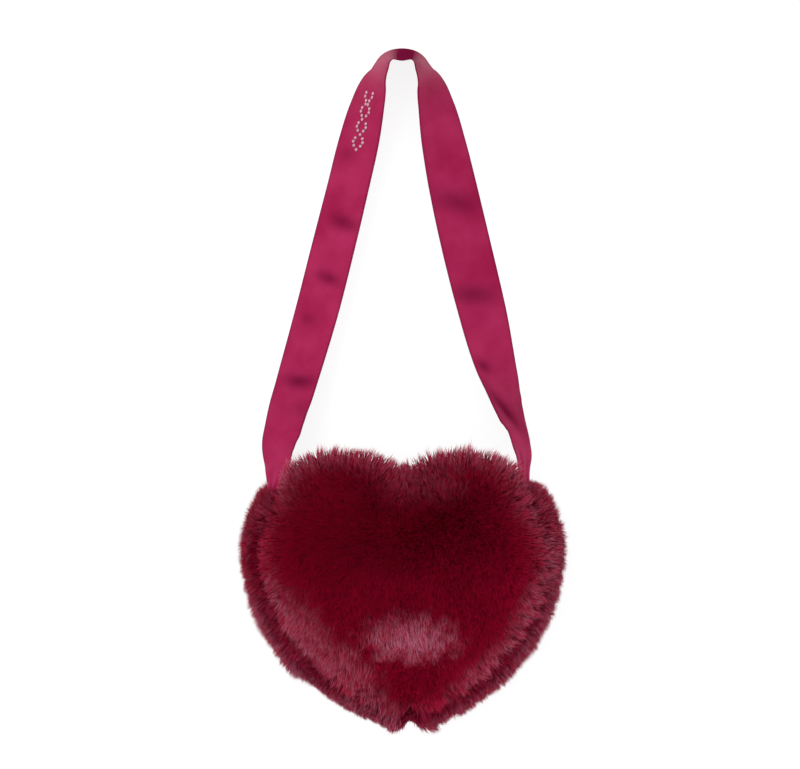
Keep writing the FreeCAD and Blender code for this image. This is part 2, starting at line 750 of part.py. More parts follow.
def strap_frame(places, profiles, share):
    """Centre, width direction, face normal, width and thickness of the ribbon at a share of its length."""
    centre = places.value(share)
    ahead = places.tangent(share)[0].normalize()
    if share in (0, 1):
        ahead = FreeCAD.Vector(0, 1 - 2 * share, 0)
    tilt, wide, _ = profiles.value(share)
    turn = math.radians(tilt)
    up = FreeCAD.Vector(0, 0, 1)
    inward = ahead.cross(up).normalize()
    across = inward * math.cos(turn) + up * math.sin(turn)
    across = (across - ahead * ahead.dot(across)).normalize()
    return centre, across, across.cross(ahead), *strap_section(min(wide, 1))


def strap_fold(side):
    """The half-round fold in which one end of the loop turns on its sewn tail."""
    radius = size("root_width") / 2
    centre = FreeCAD.Vector(side * ROOT.x - size("root_thickness") / 2, ROOT.y, ROOT.z)
    rise = FreeCAD.Vector(0, 0, radius)
    arc = Part.Arc(centre + rise, centre - FreeCAD.Vector(0, radius, 0), centre - rise)
    outline = Part.Wire([arc.toShape(), Part.makeLine(centre - rise, centre + rise)])
    return Part.Face(outline).extrude(FreeCAD.Vector(size("root_thickness"), 0, 0))


def strap_ribbon():
    """The strap: a ruled loft along the curves, ending in a half-round fold at each root."""
    places, profiles = strap_curves()
    wires = []
    for step in range(STRAP_STEPS + 1):
        centre, across, face, width, thickness = strap_frame(places, profiles, step / STRAP_STEPS)
        half_wide = across * (width / 2)
        half_thick = face * (thickness / 2)
        corners = [
            centre - half_wide - half_thick,
            centre + half_wide - half_thick,
            centre + half_wide + half_thick,
            centre - half_wide + half_thick,
        ]
        wires.append(Part.makePolygon(corners + corners[:1]))
    shape = Part.makeLoft(wires, True, True)
    folds = [strap_fold(side) for side in (-1, 1)]
    item = document.addObject("Part::Feature", "strap_ribbon")
    item.Label = "strap_ribbon"
    item.Shape = shape.multiFuse(folds)
    return item


def strap_crystals():
    """Crystals set on the left leg in two strands that cross like a twisted cord."""
    places, profiles = strap_curves()
    length = places.length()
    base = size("crystal_radius")
    count = int(size("twist_length") * TWIST_TURNS / size("crystal_pitch"))
    stones = []
    for strand in (1, -1):
        for number in range(count):
            along = number * size("crystal_pitch")
            share = TWIST_START_SHARE + along / length
            centre, across, face, _, thickness = strap_frame(places, profiles, share)
            swing = strand * math.sin(2 * math.pi * along / size("twist_length"))
            if strand < 0 and abs(swing) * size("twist_width") < 2 * base:
                continue
            lift = thickness / 2 + size("sewing_gap") / 2
            place = centre + across * (swing * size("twist_width") / 2) + face * lift
            stones.append(Part.makeCone(base, base / 2, size("crystal_height"), place, face))
    item = document.addObject("Part::Feature", "strap_crystals")
    item.Label = "strap_crystals"
    item.Shape = Part.makeCompound(stones)
    return item


def write(pieces):
    """Checks every object and piece, then writes each piece to its own file."""
    for item in document.Objects:
        assert not {"Invalid", "Error"} & set(item.State), f"{item.Label}: {item.State}"
    for piece in pieces:
        assert not piece.Shape.isNull() and piece.Shape.isValid(), piece.Label
        assert piece.Shape.Solids, piece.Label
    os.makedirs("parts", exist_ok=True)
    for piece in pieces:
        piece.Shape.exportStep(f"parts/{piece.Label}.step")
        solids = len(piece.Shape.Solids)
        print(f"{piece.Label}: {solids} solid(s), {piece.Shape.Volume / 1000:.2f} cm3")


TAILS = {"left": strap_tail("strap_end_left", -1), "right": strap_tail("strap_end_right", 1)}
tapes = zip_tapes()
pieces = [back_fur_panel(), front_fur_panel(), *gussets(), *layers(), *tapes]
pieces += [zip_teeth("zip_teeth_front", 1), zip_teeth("zip_teeth_back", -1)]
pieces += [*zip_stops(tapes), *zip_end_tabs(tapes), zip_slider(), zip_pull()]
pieces += [strap_ribbon(), *TAILS.values(), strap_crystals()]
document.recompute()
write(pieces)
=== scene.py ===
"""Looks of a plush heart purse with a satin ribbon strap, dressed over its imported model."""

import logging
import math
from collections.abc import Callable, Sequence
from dataclasses import dataclass, field, fields
from enum import Enum

import bmesh
import bpy
import numpy as np
from mathutils import Matrix, Vector


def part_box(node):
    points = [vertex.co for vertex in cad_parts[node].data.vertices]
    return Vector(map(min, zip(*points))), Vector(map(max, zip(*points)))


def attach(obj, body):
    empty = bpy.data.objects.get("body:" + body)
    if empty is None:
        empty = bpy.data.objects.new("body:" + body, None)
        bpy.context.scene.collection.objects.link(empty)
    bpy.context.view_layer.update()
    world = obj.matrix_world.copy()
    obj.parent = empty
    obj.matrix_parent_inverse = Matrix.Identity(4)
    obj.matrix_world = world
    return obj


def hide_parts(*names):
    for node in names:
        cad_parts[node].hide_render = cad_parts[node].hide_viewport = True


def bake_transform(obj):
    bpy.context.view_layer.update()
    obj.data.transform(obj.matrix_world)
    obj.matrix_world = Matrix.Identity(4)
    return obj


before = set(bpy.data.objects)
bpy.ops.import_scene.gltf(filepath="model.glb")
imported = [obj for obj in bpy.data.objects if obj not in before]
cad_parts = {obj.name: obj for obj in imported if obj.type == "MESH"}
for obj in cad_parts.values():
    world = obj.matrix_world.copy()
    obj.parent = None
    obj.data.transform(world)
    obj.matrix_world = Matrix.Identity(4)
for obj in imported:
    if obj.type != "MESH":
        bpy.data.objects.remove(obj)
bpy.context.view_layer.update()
LOG = logging.getLogger("heart_purse")
MM = 0.001
# The map that a piece's own pattern follows.
OWN_MAP = "OFBake"
# The ribbon's attribute for its painted shade, in its dents and on its arch, and for its darker
# edges.
PAINTED_SHADE = "painted_shade"
# The Mix node's sockets for colours, which share their names with those for plain values.
MIX_FIRST, MIX_SECOND, MIX_RESULT = 6, 7, 2
# The direction from the heart's middle to its tip.
TO_TIP = np.array([0.0, -1.0, 0.0])


class Body(Enum):
    """The bodies that pieces ride on."""

    BAG = "bag"
    STRAP = "strap"


class Slot(Enum):
    """The record's material slots."""

    FUR = "fur"
    SATIN = "satin"
    LINING = "lining"
    WADDING = "wadding"
    TAPE = "zip_tape"
    CRYSTAL = "crystal"


def linear(code: str) -> tuple[float, float, float, float]:
    """Turns an sRGB hex colour into linear RGBA.

    Args:
        code: Colour such as "#a82652".

    Returns:
        Red, green, blue and full alpha, from 0 to 1.
    """
    parts = [int(code[n : n + 2], 16) / 255 for n in (1, 3, 5)]
    knee, slope, shift, power = 0.04045, 12.92, 0.055, 2.4
    red, green, blue = (
        part / slope if part <= knee else ((part + shift) / (1 + shift)) ** power for part in parts
    )
    return red, green, blue, 1.0


def add_node(
    tree: bpy.types.NodeTree, kind: str, inputs: dict | None = None, **settings: str | bool
) -> bpy.types.Node:
    """Adds a node with its settings, values and links.

    Args:
        tree: Tree that takes the node.
        kind: Node type.
        inputs: Values, or the output sockets that feed them, by input name or number.
        settings: The node's own properties.

    Returns:
        The new node.
    """
    node = tree.nodes.new(kind)
    for name, value in settings.items():
        setattr(node, name, value)
    for name, value in (inputs or {}).items():
        if isinstance(value, bpy.types.NodeSocket):
            tree.links.new(value, node.inputs[name])
        else:
            node.inputs[name].default_value = value
    return node


def set_stops(ramp: bpy.types.Node, stops: Sequence[tuple[float, str]]) -> None:
    """Gives a colour ramp its stops.

    Args:
        ramp: Colour ramp node.
        stops: Place from 0 to 1 and hex colour of each stop, in order.
    """
    elements = ramp.color_ramp.elements
    while len(elements) < len(stops):
        elements.new(1.0)
    for element, (place, code) in zip(elements, stops):
        element.position = place
        element.color = linear(code)


def new_material(name: str) -> tuple[bpy.types.Material, bpy.types.NodeTree, bpy.types.Node]:
    """Makes a material with one Principled shader.

    Args:
        name: Name of the finish.

    Returns:
        The material, its node tree and the shader.
    """
    material = bpy.data.materials.new(name)
    material.use_nodes = True
    tree = material.node_tree
    tree.nodes.clear()
    shader = add_node(tree, "ShaderNodeBsdfPrincipled")
    add_node(tree, "ShaderNodeOutputMaterial", {"Surface": shader.outputs["BSDF"]})
    return material, tree, shader


def set_inputs(shader: bpy.types.Node, **values: float | tuple) -> None:
    """Sets constant sockets of a shader; an underscore in a name stands for a space."""
    for name, value in values.items():
        shader.inputs[name.replace("_", " ")].default_value = value


@dataclass(frozen=True)
class FurPile:
    """Modacrylic pile, knitted and brushed out: soft, with painted shade deep at the root and
    painted sheen at the tip.
    """

    name: str = "modacrylic_fur_pile"
    deep: tuple[str, ...] = ("#3c000e", "#92002a", "#c4003d")
    painted_sheen: tuple[str, ...] = ("#38081a", "#a24a68", "#da98b0")
    stops: tuple[float, ...] = (0.05, 0.5, 0.9)
    gloss: str = "#c01848"
    roughness: float = 0.6
    specular: float = 0.04

    def material(self) -> bpy.types.Material:
        """Colours each fibre by its share of painted sheen across the map, and along its length up
        the map, darker at the root as painted shade.

        Returns:
            The material.
        """
        material, tree, shader = new_material(self.name)
        place = add_node(tree, "ShaderNodeUVMap", uv_map=OWN_MAP)
        split = add_node(tree, "ShaderNodeSeparateXYZ", {0: place.outputs["UV"]})
        # Root-to-tip ramps, darker at the root as painted shade; the second ramp is the painted
        # sheen.
        ramps = []
        for colours in (self.deep, self.painted_sheen):
            ramp = add_node(tree, "ShaderNodeValToRGB", {"Fac": split.outputs["Y"]})
            set_stops(ramp, list(zip(self.stops, colours)))
            ramps.append(ramp.outputs["Color"])
        mix = add_node(
            tree,
            "ShaderNodeMix",
            {"Factor": split.outputs["X"], MIX_FIRST: ramps[0], MIX_SECOND: ramps[1]},
            data_type="RGBA",
        )
        tree.links.new(mix.outputs[MIX_RESULT], shader.inputs["Base Color"])
        set_inputs(
            shader,
            Roughness=self.roughness,
            Specular_IOR_Level=self.specular,
            Specular_Tint=linear(self.gloss),
        )
        return material


@dataclass(frozen=True)
class Cloth:
    """A woven or knitted cloth, with its threads as a fine bump and a slow drift of its dye."""

    name: str
    dark: str
    light: str
    thread: float
    roughness: float = 0.8
    bump: float = 0.25
    drift: float = 30 * MM
    sheen: float = 0.2
    specular: float = 0.3

    def material(self) -> bpy.types.Material:
        """Mixes the two dyes by a slow noise and raises the threads by crossed waves.

        Returns:
            The material.
        """
        material, tree, shader = new_material(self.name)
        place = add_node(tree, "ShaderNodeTexCoord").outputs["Object"]
        slow = add_node(
            tree, "ShaderNodeTexNoise", {"Vector": place, "Scale": 1 / self.drift, "Detail": 4.0}
        )
        ramp = add_node(tree, "ShaderNodeValToRGB", {"Fac": slow.outputs["Fac"]})
        set_stops(ramp, ((0.35, self.dark), (0.65, self.light)))
        tree.links.new(ramp.outputs["Color"], shader.inputs["Base Color"])
        rows = [
            add_node(
                tree,
                "ShaderNodeTexWave",
                {"Vector": place, "Scale": 1 / (self.thread * 2 * math.pi), "Distortion": 0.4},
                bands_direction=way,
            ).outputs["Fac"]
            for way in ("X", "Y", "Z")
        ]
        crossed = add_node(tree, "ShaderNodeMath", {0: rows[0], 1: rows[1]}, operation="MULTIPLY")
        threads = add_node(
            tree, "ShaderNodeMath", {0: crossed.outputs[0], 1: rows[2]}, operation="ADD"
        )
        bump = add_node(
            tree,
            "ShaderNodeBump",
            {"Strength": self.bump, "Distance": self.thread, "Height": threads.outputs[0]},
        )
        tree.links.new(bump.outputs["Normal"], shader.inputs["Normal"])
        set_inputs(
            shader,
            Roughness=self.roughness,
            Sheen_Weight=self.sheen,
            Specular_IOR_Level=self.specular,
        )
        return material


@dataclass(frozen=True)
class Satin:
    """Double-faced polyester satin: long floats that shine along it, with painted shade in its
    dents and on its arch.
    """

    name: str = "polyester_satin"
    # Colour of the painted shade.
    painted_shade_colour: str = "#5a0628"
    shade: str = "#991c47"
    bright: str = "#ab2a57"
    drift: float = 28 * MM
    float_width: float = 0.7 * MM
    bump: float = 0.06
    roughness: float = 0.42
    specular: float = 0.08
    dulled: float = 1.4
    gloss: str = "#b04068"

    def material(self) -> bpy.types.Material:
        """Colours the ribbon along its own map, with fine floats, and painted shade in its dents,
        on its arch and along its edges.

        Returns:
            The material.
        """
        material, tree, shader = new_material(self.name)
        place = add_node(tree, "ShaderNodeUVMap", uv_map=OWN_MAP).outputs["UV"]
        slow = add_node(
            tree, "ShaderNodeTexNoise", {"Vector": place, "Scale": 1 / self.drift, "Detail": 3.0}
        )
        ramp = add_node(tree, "ShaderNodeValToRGB", {"Fac": slow.outputs["Fac"]})
        set_stops(ramp, ((0.3, self.shade), (0.7, self.bright)))
        # The painted shade, in the dents, on the arch and along the edges; it also dulls the shine.
        dents_and_shade = add_node(tree, "ShaderNodeAttribute", attribute_name=PAINTED_SHADE).outputs["Fac"]
        mix = add_node(
            tree,
            "ShaderNodeMix",
            {"Factor": dents_and_shade, MIX_FIRST: ramp.outputs["Color"], MIX_SECOND: linear(self.painted_shade_colour)},
            data_type="RGBA",
        )
        tree.links.new(mix.outputs[MIX_RESULT], shader.inputs["Base Color"])
        floats = add_node(
            tree,
            "ShaderNodeTexWave",
            {"Vector": place, "Scale": 1 / (self.float_width * 2 * math.pi), "Distortion": 1.5},
            bands_direction="X",
        )
        bump = add_node(
            tree,
            "ShaderNodeBump",
            {"Strength": self.bump, "Distance": self.float_width, "Height": floats.outputs["Fac"]},
        )
        tree.links.new(bump.outputs["Normal"], shader.inputs["Normal"])
        shine = add_node(
            tree,
            "ShaderNodeMath",
            {0: dents_and_shade, 1: -self.dulled * self.specular, 2: self.specular},
            operation="MULTIPLY_ADD",
            use_clamp=True,
        )
        tree.links.new(shine.outputs[0], shader.inputs["Specular IOR Level"])
        set_inputs(shader, Roughness=self.roughness, Specular_Tint=linear(self.gloss))
        return material


@dataclass(frozen=True)
class Moulded:
    """A moulded plastic or plated metal, with a faint grain from its tool."""

    name: str
    dark: str
    light: str
    roughness: float
    metallic: float = 0.0
    grain: float = 1.2 * MM
    bump: float = 0.05

    def material(self) -> bpy.types.Material:
        """Varies the colour and the height a little by a fine noise.

        Returns:
            The material.
        """
        material, tree, shader = new_material(self.name)
        place = add_node(tree, "ShaderNodeTexCoord").outputs["Object"]
        noise = add_node(
            tree, "ShaderNodeTexNoise", {"Vector": place, "Scale": 1 / self.grain, "Detail": 3.0}
        )
        ramp = add_node(tree, "ShaderNodeValToRGB", {"Fac": noise.outputs["Fac"]})
        set_stops(ramp, ((0.3, self.dark), (0.7, self.light)))
        tree.links.new(ramp.outputs["Color"], shader.inputs["Base Color"])
        bump = add_node(
            tree,
            "ShaderNodeBump",
            {"Strength": self.bump, "Distance": self.grain, "Height": noise.outputs["Fac"]},
        )
        tree.links.new(bump.outputs["Normal"], shader.inputs["Normal"])
        set_inputs(shader, Roughness=self.roughness, Metallic=self.metallic)
        return material


# Brushed modacrylic: a deep, soft crimson, with painted shade towards the root and painted sheen
# where the pile lies flat and at the rim.
FUR = FurPile()
# The same pile on the gusset, drawn a little darker as painted shade.
SHADED_SIDE_FUR = FurPile("modacrylic_pile_painted_shade", deep=("#38000d", "#8a002a", "#ba003a"))
# Knitted polyester: dull and dark, seen only between the strands.
BACKING = Cloth("knitted_backing", "#3a000a", "#520010", 1.2 * MM, sheen=0.0, specular=0.05)
# Woven satin: an even colour with a soft shine, and painted shade in its dents and on its arch.
SATIN = Satin()
# Plain woven taffeta: thin, with a slight gloss.
LINING = Cloth("taffeta_lining", "#5a0a20", "#6e1029", 0.5 * MM, roughness=0.55)
# Bonded polyester fibre: off-white and matt.
WADDING = Cloth("bonded_wadding", "#d8d5cc", "#ece9e0", 2.0 * MM, roughness=0.95)
# Woven polyester tape: matt, with its weave drawn coarser than it is, so that it shows.
TAPE = Cloth("herringbone_tape", "#5c0d22", "#741530", 0.6 * MM)
# Spun polyester: a row of paler beads on the tape.
THREAD = Cloth("sewing_thread", "#8a2a44", "#9c3450", 0.2 * MM, roughness=0.6)
# Moulded acetal: dark teeth with a half gloss.
TEETH = Moulded("acetal_teeth", "#4c0a1c", "#5e1026", 0.38)
# Polished nickel plate: a bright mirror, a little soft.
NICKEL = Moulded("nickel_plate", "#b9b8b6", "#d6d5d3", 0.2, metallic=1.0)
# Cut glass on foil, drawn as a pinkish metal: bright facets with the ribbon's pink painted in as a
# reflection.
CRYSTAL = Moulded("foiled_crystal", "#c490a6", "#e8b8c8", 0.06, metallic=0.85, grain=0.8 * MM)


def smooth_step(low: float, high: float, values: np.ndarray) -> np.ndarray:
    """Goes smoothly from 0 at low to 1 at high.

    Args:
        low: Value at which the step starts.
        high: Value at which it ends, which may be the lower one.
        values: Values to look up.

    Returns:
        The step's height for each value.
    """
    share = np.clip((values - low) / (high - low), 0, 1)
    return share * share * (3 - 2 * share)


def bell(values: np.ndarray, middle: float, width: float) -> np.ndarray:
    """Is 1 at the middle and falls off smoothly, to about a third at the width on either side."""
    return np.exp(-(((values - middle) / width) ** 2))


def along_and_aside(
    dx: np.ndarray, dy: np.ndarray, degrees: float
) -> tuple[np.ndarray, np.ndarray]:
    """Turns offsets into distances along and across a direction.

    Args:
        dx: Offsets to the right.
        dy: Offsets upwards.
        degrees: Angle of the direction, from the right.

    Returns:
        Distances along the direction and across it.
    """
    angle = math.radians(degrees)
    along = dx * math.cos(angle) + dy * math.sin(angle)
    return along, -dx * math.sin(angle) + dy * math.cos(angle)


def wander(places: np.ndarray, pitch: float, seed: int, waves: int = 7) -> np.ndarray:
    """Smooth noise over places, made of a few seeded waves.

    Args:
        places: Points, one row each.
        pitch: Typical length of a wave.
        seed: Seed of the waves.
        waves: How many waves add up.

    Returns:
        A value of about -1 to 1 for each point.
    """
    draw = np.random.default_rng(seed)
    total = np.zeros(len(places))
    for _ in range(waves):
        way = draw.normal(size=places.shape[1])
        way *= draw.uniform(0.7, 1.5) * 2 * math.pi / pitch / np.linalg.norm(way)
        total += np.sin(places @ way + draw.uniform(0, 2 * math.pi))
    return total / math.sqrt(2 * waves)


def points_of(mesh: bpy.types.Mesh) -> np.ndarray:
    """Reads a mesh's points.

    Args:
        mesh: The mesh.

    Returns:
        The points, one row each.
    """
    spots = np.empty(len(mesh.vertices) * 3)
    mesh.vertices.foreach_get("co", spots)
    return spots.reshape(-1, 3)


def move_points(mesh: bpy.types.Mesh, spots: np.ndarray) -> None:
    """Moves a mesh's points to new places, one row each."""
    mesh.vertices.foreach_set("co", spots.ravel())
    mesh.update()


def shade(mesh: bpy.types.Mesh, smooth: bool = True) -> None:
    """Makes all faces of a mesh shade smoothly or flatly."""
    mesh.polygons.foreach_set("use_smooth", np.full(len(mesh.polygons), smooth))


def unit(vectors: np.ndarray) -> np.ndarray:
    """Scales each row to length 1."""
    return vectors / np.maximum(np.linalg.norm(vectors, axis=1, keepdims=True), 1e-12)


def in_space(ways: np.ndarray) -> np.ndarray:
    """Takes directions in the plan as level directions in space."""
    return np.concatenate([ways, np.zeros((len(ways), 1))], 1)


def add_piece(
    name: str, mesh: bpy.types.Mesh, finish: bpy.types.Material
) -> bpy.types.Object:
    """Puts a finished mesh into the scene.

    Args:
        name: Name of the piece.
        mesh: Its mesh, in place.
        finish: Its material.

    Returns:
        The new object.
    """
    piece = bpy.data.objects.new(name, mesh)
    bpy.context.scene.collection.objects.link(piece)
    mesh.materials.clear()
    mesh.materials.append(finish)
    LOG.info("%s: %d faces", name, len(mesh.polygons))
    return piece


def mesh_from(form: bmesh.types.BMesh, name: str, smooth: bool = True) -> bpy.types.Mesh:
    """Turns a bmesh into a mesh and frees it.

    Args:
        form: The shape.
        name: Name of the mesh.
        smooth: Whether its faces shade smoothly.

    Returns:
        The mesh.
    """
    mesh = bpy.data.meshes.new(name)
    form.to_mesh(mesh)
    form.free()
    shade(mesh, smooth)
    return mesh


def woven(name: str, net: np.ndarray) -> bpy.types.Mesh:
    """A sheet of cloth through a net of points.

    Args:
        name: Name of the mesh.
        net: Points as rows by columns by three; the sheet faces along its columns crossed with
            its rows.

    Returns:
        The sheet, with points that fall together merged.
    """
    rows, columns = net.shape[:2]
    form = bmesh.new()
    bmesh.ops.create_grid(form, x_segments=columns - 1, y_segments=rows - 1, size=0.5)
    for vert in form.verts:
        row = round((vert.co.y + 0.5) * (rows - 1))
        column = round((vert.co.x + 0.5) * (columns - 1))
        vert.co = net[row, column]
    bmesh.ops.remove_doubles(form, verts=form.verts, dist=0.01 * MM)
    return mesh_from(form, name)


def add_cloth(
    name: str, net: np.ndarray, finish: bpy.types.Material
) -> bpy.types.Object:
    """Puts a sheet of cloth through a net of points into the scene."""
    return add_piece(name, woven(name, net), finish)


def thicken(piece: bpy.types.Object, thickness: float) -> None:
    """Gives a sheet its thickness, half to each side.

    Args:
        piece: The sheet.
        thickness: Its thickness.
    """
    body = piece.modifiers.new("thickness", "SOLIDIFY")
    body.thickness = thickness
    body.offset = 0


def sew_in(sheet: bpy.types.Object, node: str, thickness: float) -> None:
    """Sews a sheet into the bag in place of one of its nodes.

    Args:
        sheet: The sheet, as a surface without thickness.
        node: Node that it stands for.
        thickness: Its thickness.
    """
    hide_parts(node)
    thicken(sheet, thickness)
    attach(sheet, Body.BAG.value)


@dataclass
class HeartLine:
    """The heart's seam line: two lobes, two flanks, a rounded valley and a rounded tip."""

    lobe_radius: float = 64 * MM
    lobe_offset: float = 42 * MM
    lobe_rise: float = 28 * MM
    flank_radius: float = 142 * MM
    flank_angle: float = 12
    valley_radius: float = 18 * MM
    tip_radius: float = 20 * MM
    mouth_angle: float = 42
    step: float = 3 * MM
    line: np.ndarray = field(init=False)
    normals: np.ndarray = field(init=False)

    def __post_init__(self) -> None:
        """Works out the line's points and their outward normals."""
        turn = math.radians(self.flank_angle)
        lobe = np.array([self.lobe_offset, self.lobe_rise])
        back = self.flank_radius - self.lobe_radius
        flank = lobe - back * np.array([math.cos(turn), -math.sin(turn)])
        rise = math.sqrt((self.lobe_radius + self.valley_radius) ** 2 - lobe[0] ** 2)
        fall = math.sqrt((self.flank_radius - self.tip_radius) ** 2 - flank[0] ** 2)
        valley_turn = math.atan2(rise, -lobe[0])
        tip_turn = math.atan2(-fall, -flank[0])
        half = [
            self.arc(np.array([0, flank[1] - fall]), self.tip_radius, -math.pi / 2, tip_turn),
            self.arc(flank, self.flank_radius, tip_turn, -turn),
            self.arc(lobe, self.lobe_radius, -turn, valley_turn),
            self.arc(np.array([0, lobe[1] + rise]), -self.valley_radius, valley_turn, math.pi / 2),
        ]
        points = np.concatenate([places for places, _ in half])
        normals = np.concatenate([ways for _, ways in half])
        flip = np.array([-1, 1])
        self.line = np.concatenate([points, points[::-1] * flip])
        self.normals = np.concatenate([normals, normals[::-1] * flip])

    def arc(
        self, centre: np.ndarray, radius: float, start: float, end: float
    ) -> tuple[np.ndarray, np.ndarray]:
        """Points and outward normals of one arc.

        Args:
            centre: Centre of the arc.
            radius: Its radius, below 0 where the line bends inwards.
            start: Angle at which the outward normal starts.
            end: Angle at which it ends.

        Returns:
            The points without the last, and their normals.
        """
        count = max(2, round(abs(end - start) * abs(radius) / self.step))
        turns = np.linspace(start, end, count, endpoint=False)
        ways = np.stack([np.cos(turns), np.sin(turns)], 1)
        return centre + radius * ways, ways

    def nearest(self, places: np.ndarray, block: int = 20000) -> tuple[np.ndarray, np.ndarray]:
        """Depth of points inside the line, and the outward direction of the line nearest to each.

        Args:
            places: Points, of which the first two columns count.
            block: How many points are measured at a time.

        Returns:
            Depths, below 0 outside, and unit directions.
        """
        depths, ways = [], []
        for start in range(0, len(places), block):
            part = places[start : start + block, :2]
            gaps = part[:, None, :] - self.line[None, :, :]
            best = (gaps**2).sum(2).argmin(1)
            way = self.normals[best]
            depths.append(-(gaps[np.arange(len(part)), best] * way).sum(1))
            ways.append(way)
        return np.concatenate(depths), np.concatenate(ways)

    def ring(self, inset: Callable[[np.ndarray], np.ndarray] | float) -> np.ndarray:
        """The seam line moved inwards.

        Args:
            inset: One distance, or a function of the line's points that gives one for each.

        Returns:
            The moved points.
        """
        moves = inset(self.line) if callable(inset) else np.full(len(self.line), inset)
        return self.line - self.normals * moves[:, None]

    def slab(self, outline: np.ndarray, low: float, high: float) -> bmesh.types.BMesh:
        """A flat heart-shaped slab, cut from its outline.

        Args:
            outline: Points of its edge.
            low: Height of its lower face.
            high: Height of its upper face.

        Returns:
            The slab.
        """
        form = bmesh.new()
        face = form.faces.new([form.verts.new((x, y, low)) for x, y in outline])
        grown = bmesh.ops.extrude_face_region(form, geom=[face])
        lifted = [item for item in grown["geom"] if isinstance(item, bmesh.types.BMVert)]
        bmesh.ops.translate(form, verts=lifted, vec=(0, 0, high - low))
        bmesh.ops.recalc_face_normals(form, faces=form.faces)
        return form

    def mouth(self, later: float = 0) -> np.ndarray:
        """How much each point of the line lies in the mouth, from 0 to 1.

        Args:
            later: How many degrees further round each lobe the mouth starts.

        Returns:
            One share for each point.
        """
        x = np.abs(self.line[:, 0]) - self.lobe_offset
        y = self.line[:, 1] - self.lobe_rise
        start = self.mouth_angle + later
        return smooth_step(start - 5, start + 3, np.degrees(np.arctan2(y, x))) * (y > 0)


HEART = HeartLine()


@dataclass
class Strands:
    """Fur strands before they are bent: where each grows, where it points and how much painted
    sheen it takes.
    """

    roots: np.ndarray
    normals: np.ndarray
    combs: np.ndarray
    leans: np.ndarray
    lengths: np.ndarray
    sheens: np.ndarray
    ruffles: np.ndarray

    def picked(self, chosen: np.ndarray) -> "Strands":
        """The strands of the given numbers."""
        return Strands(*(getattr(self, part.name)[chosen] for part in fields(self)))


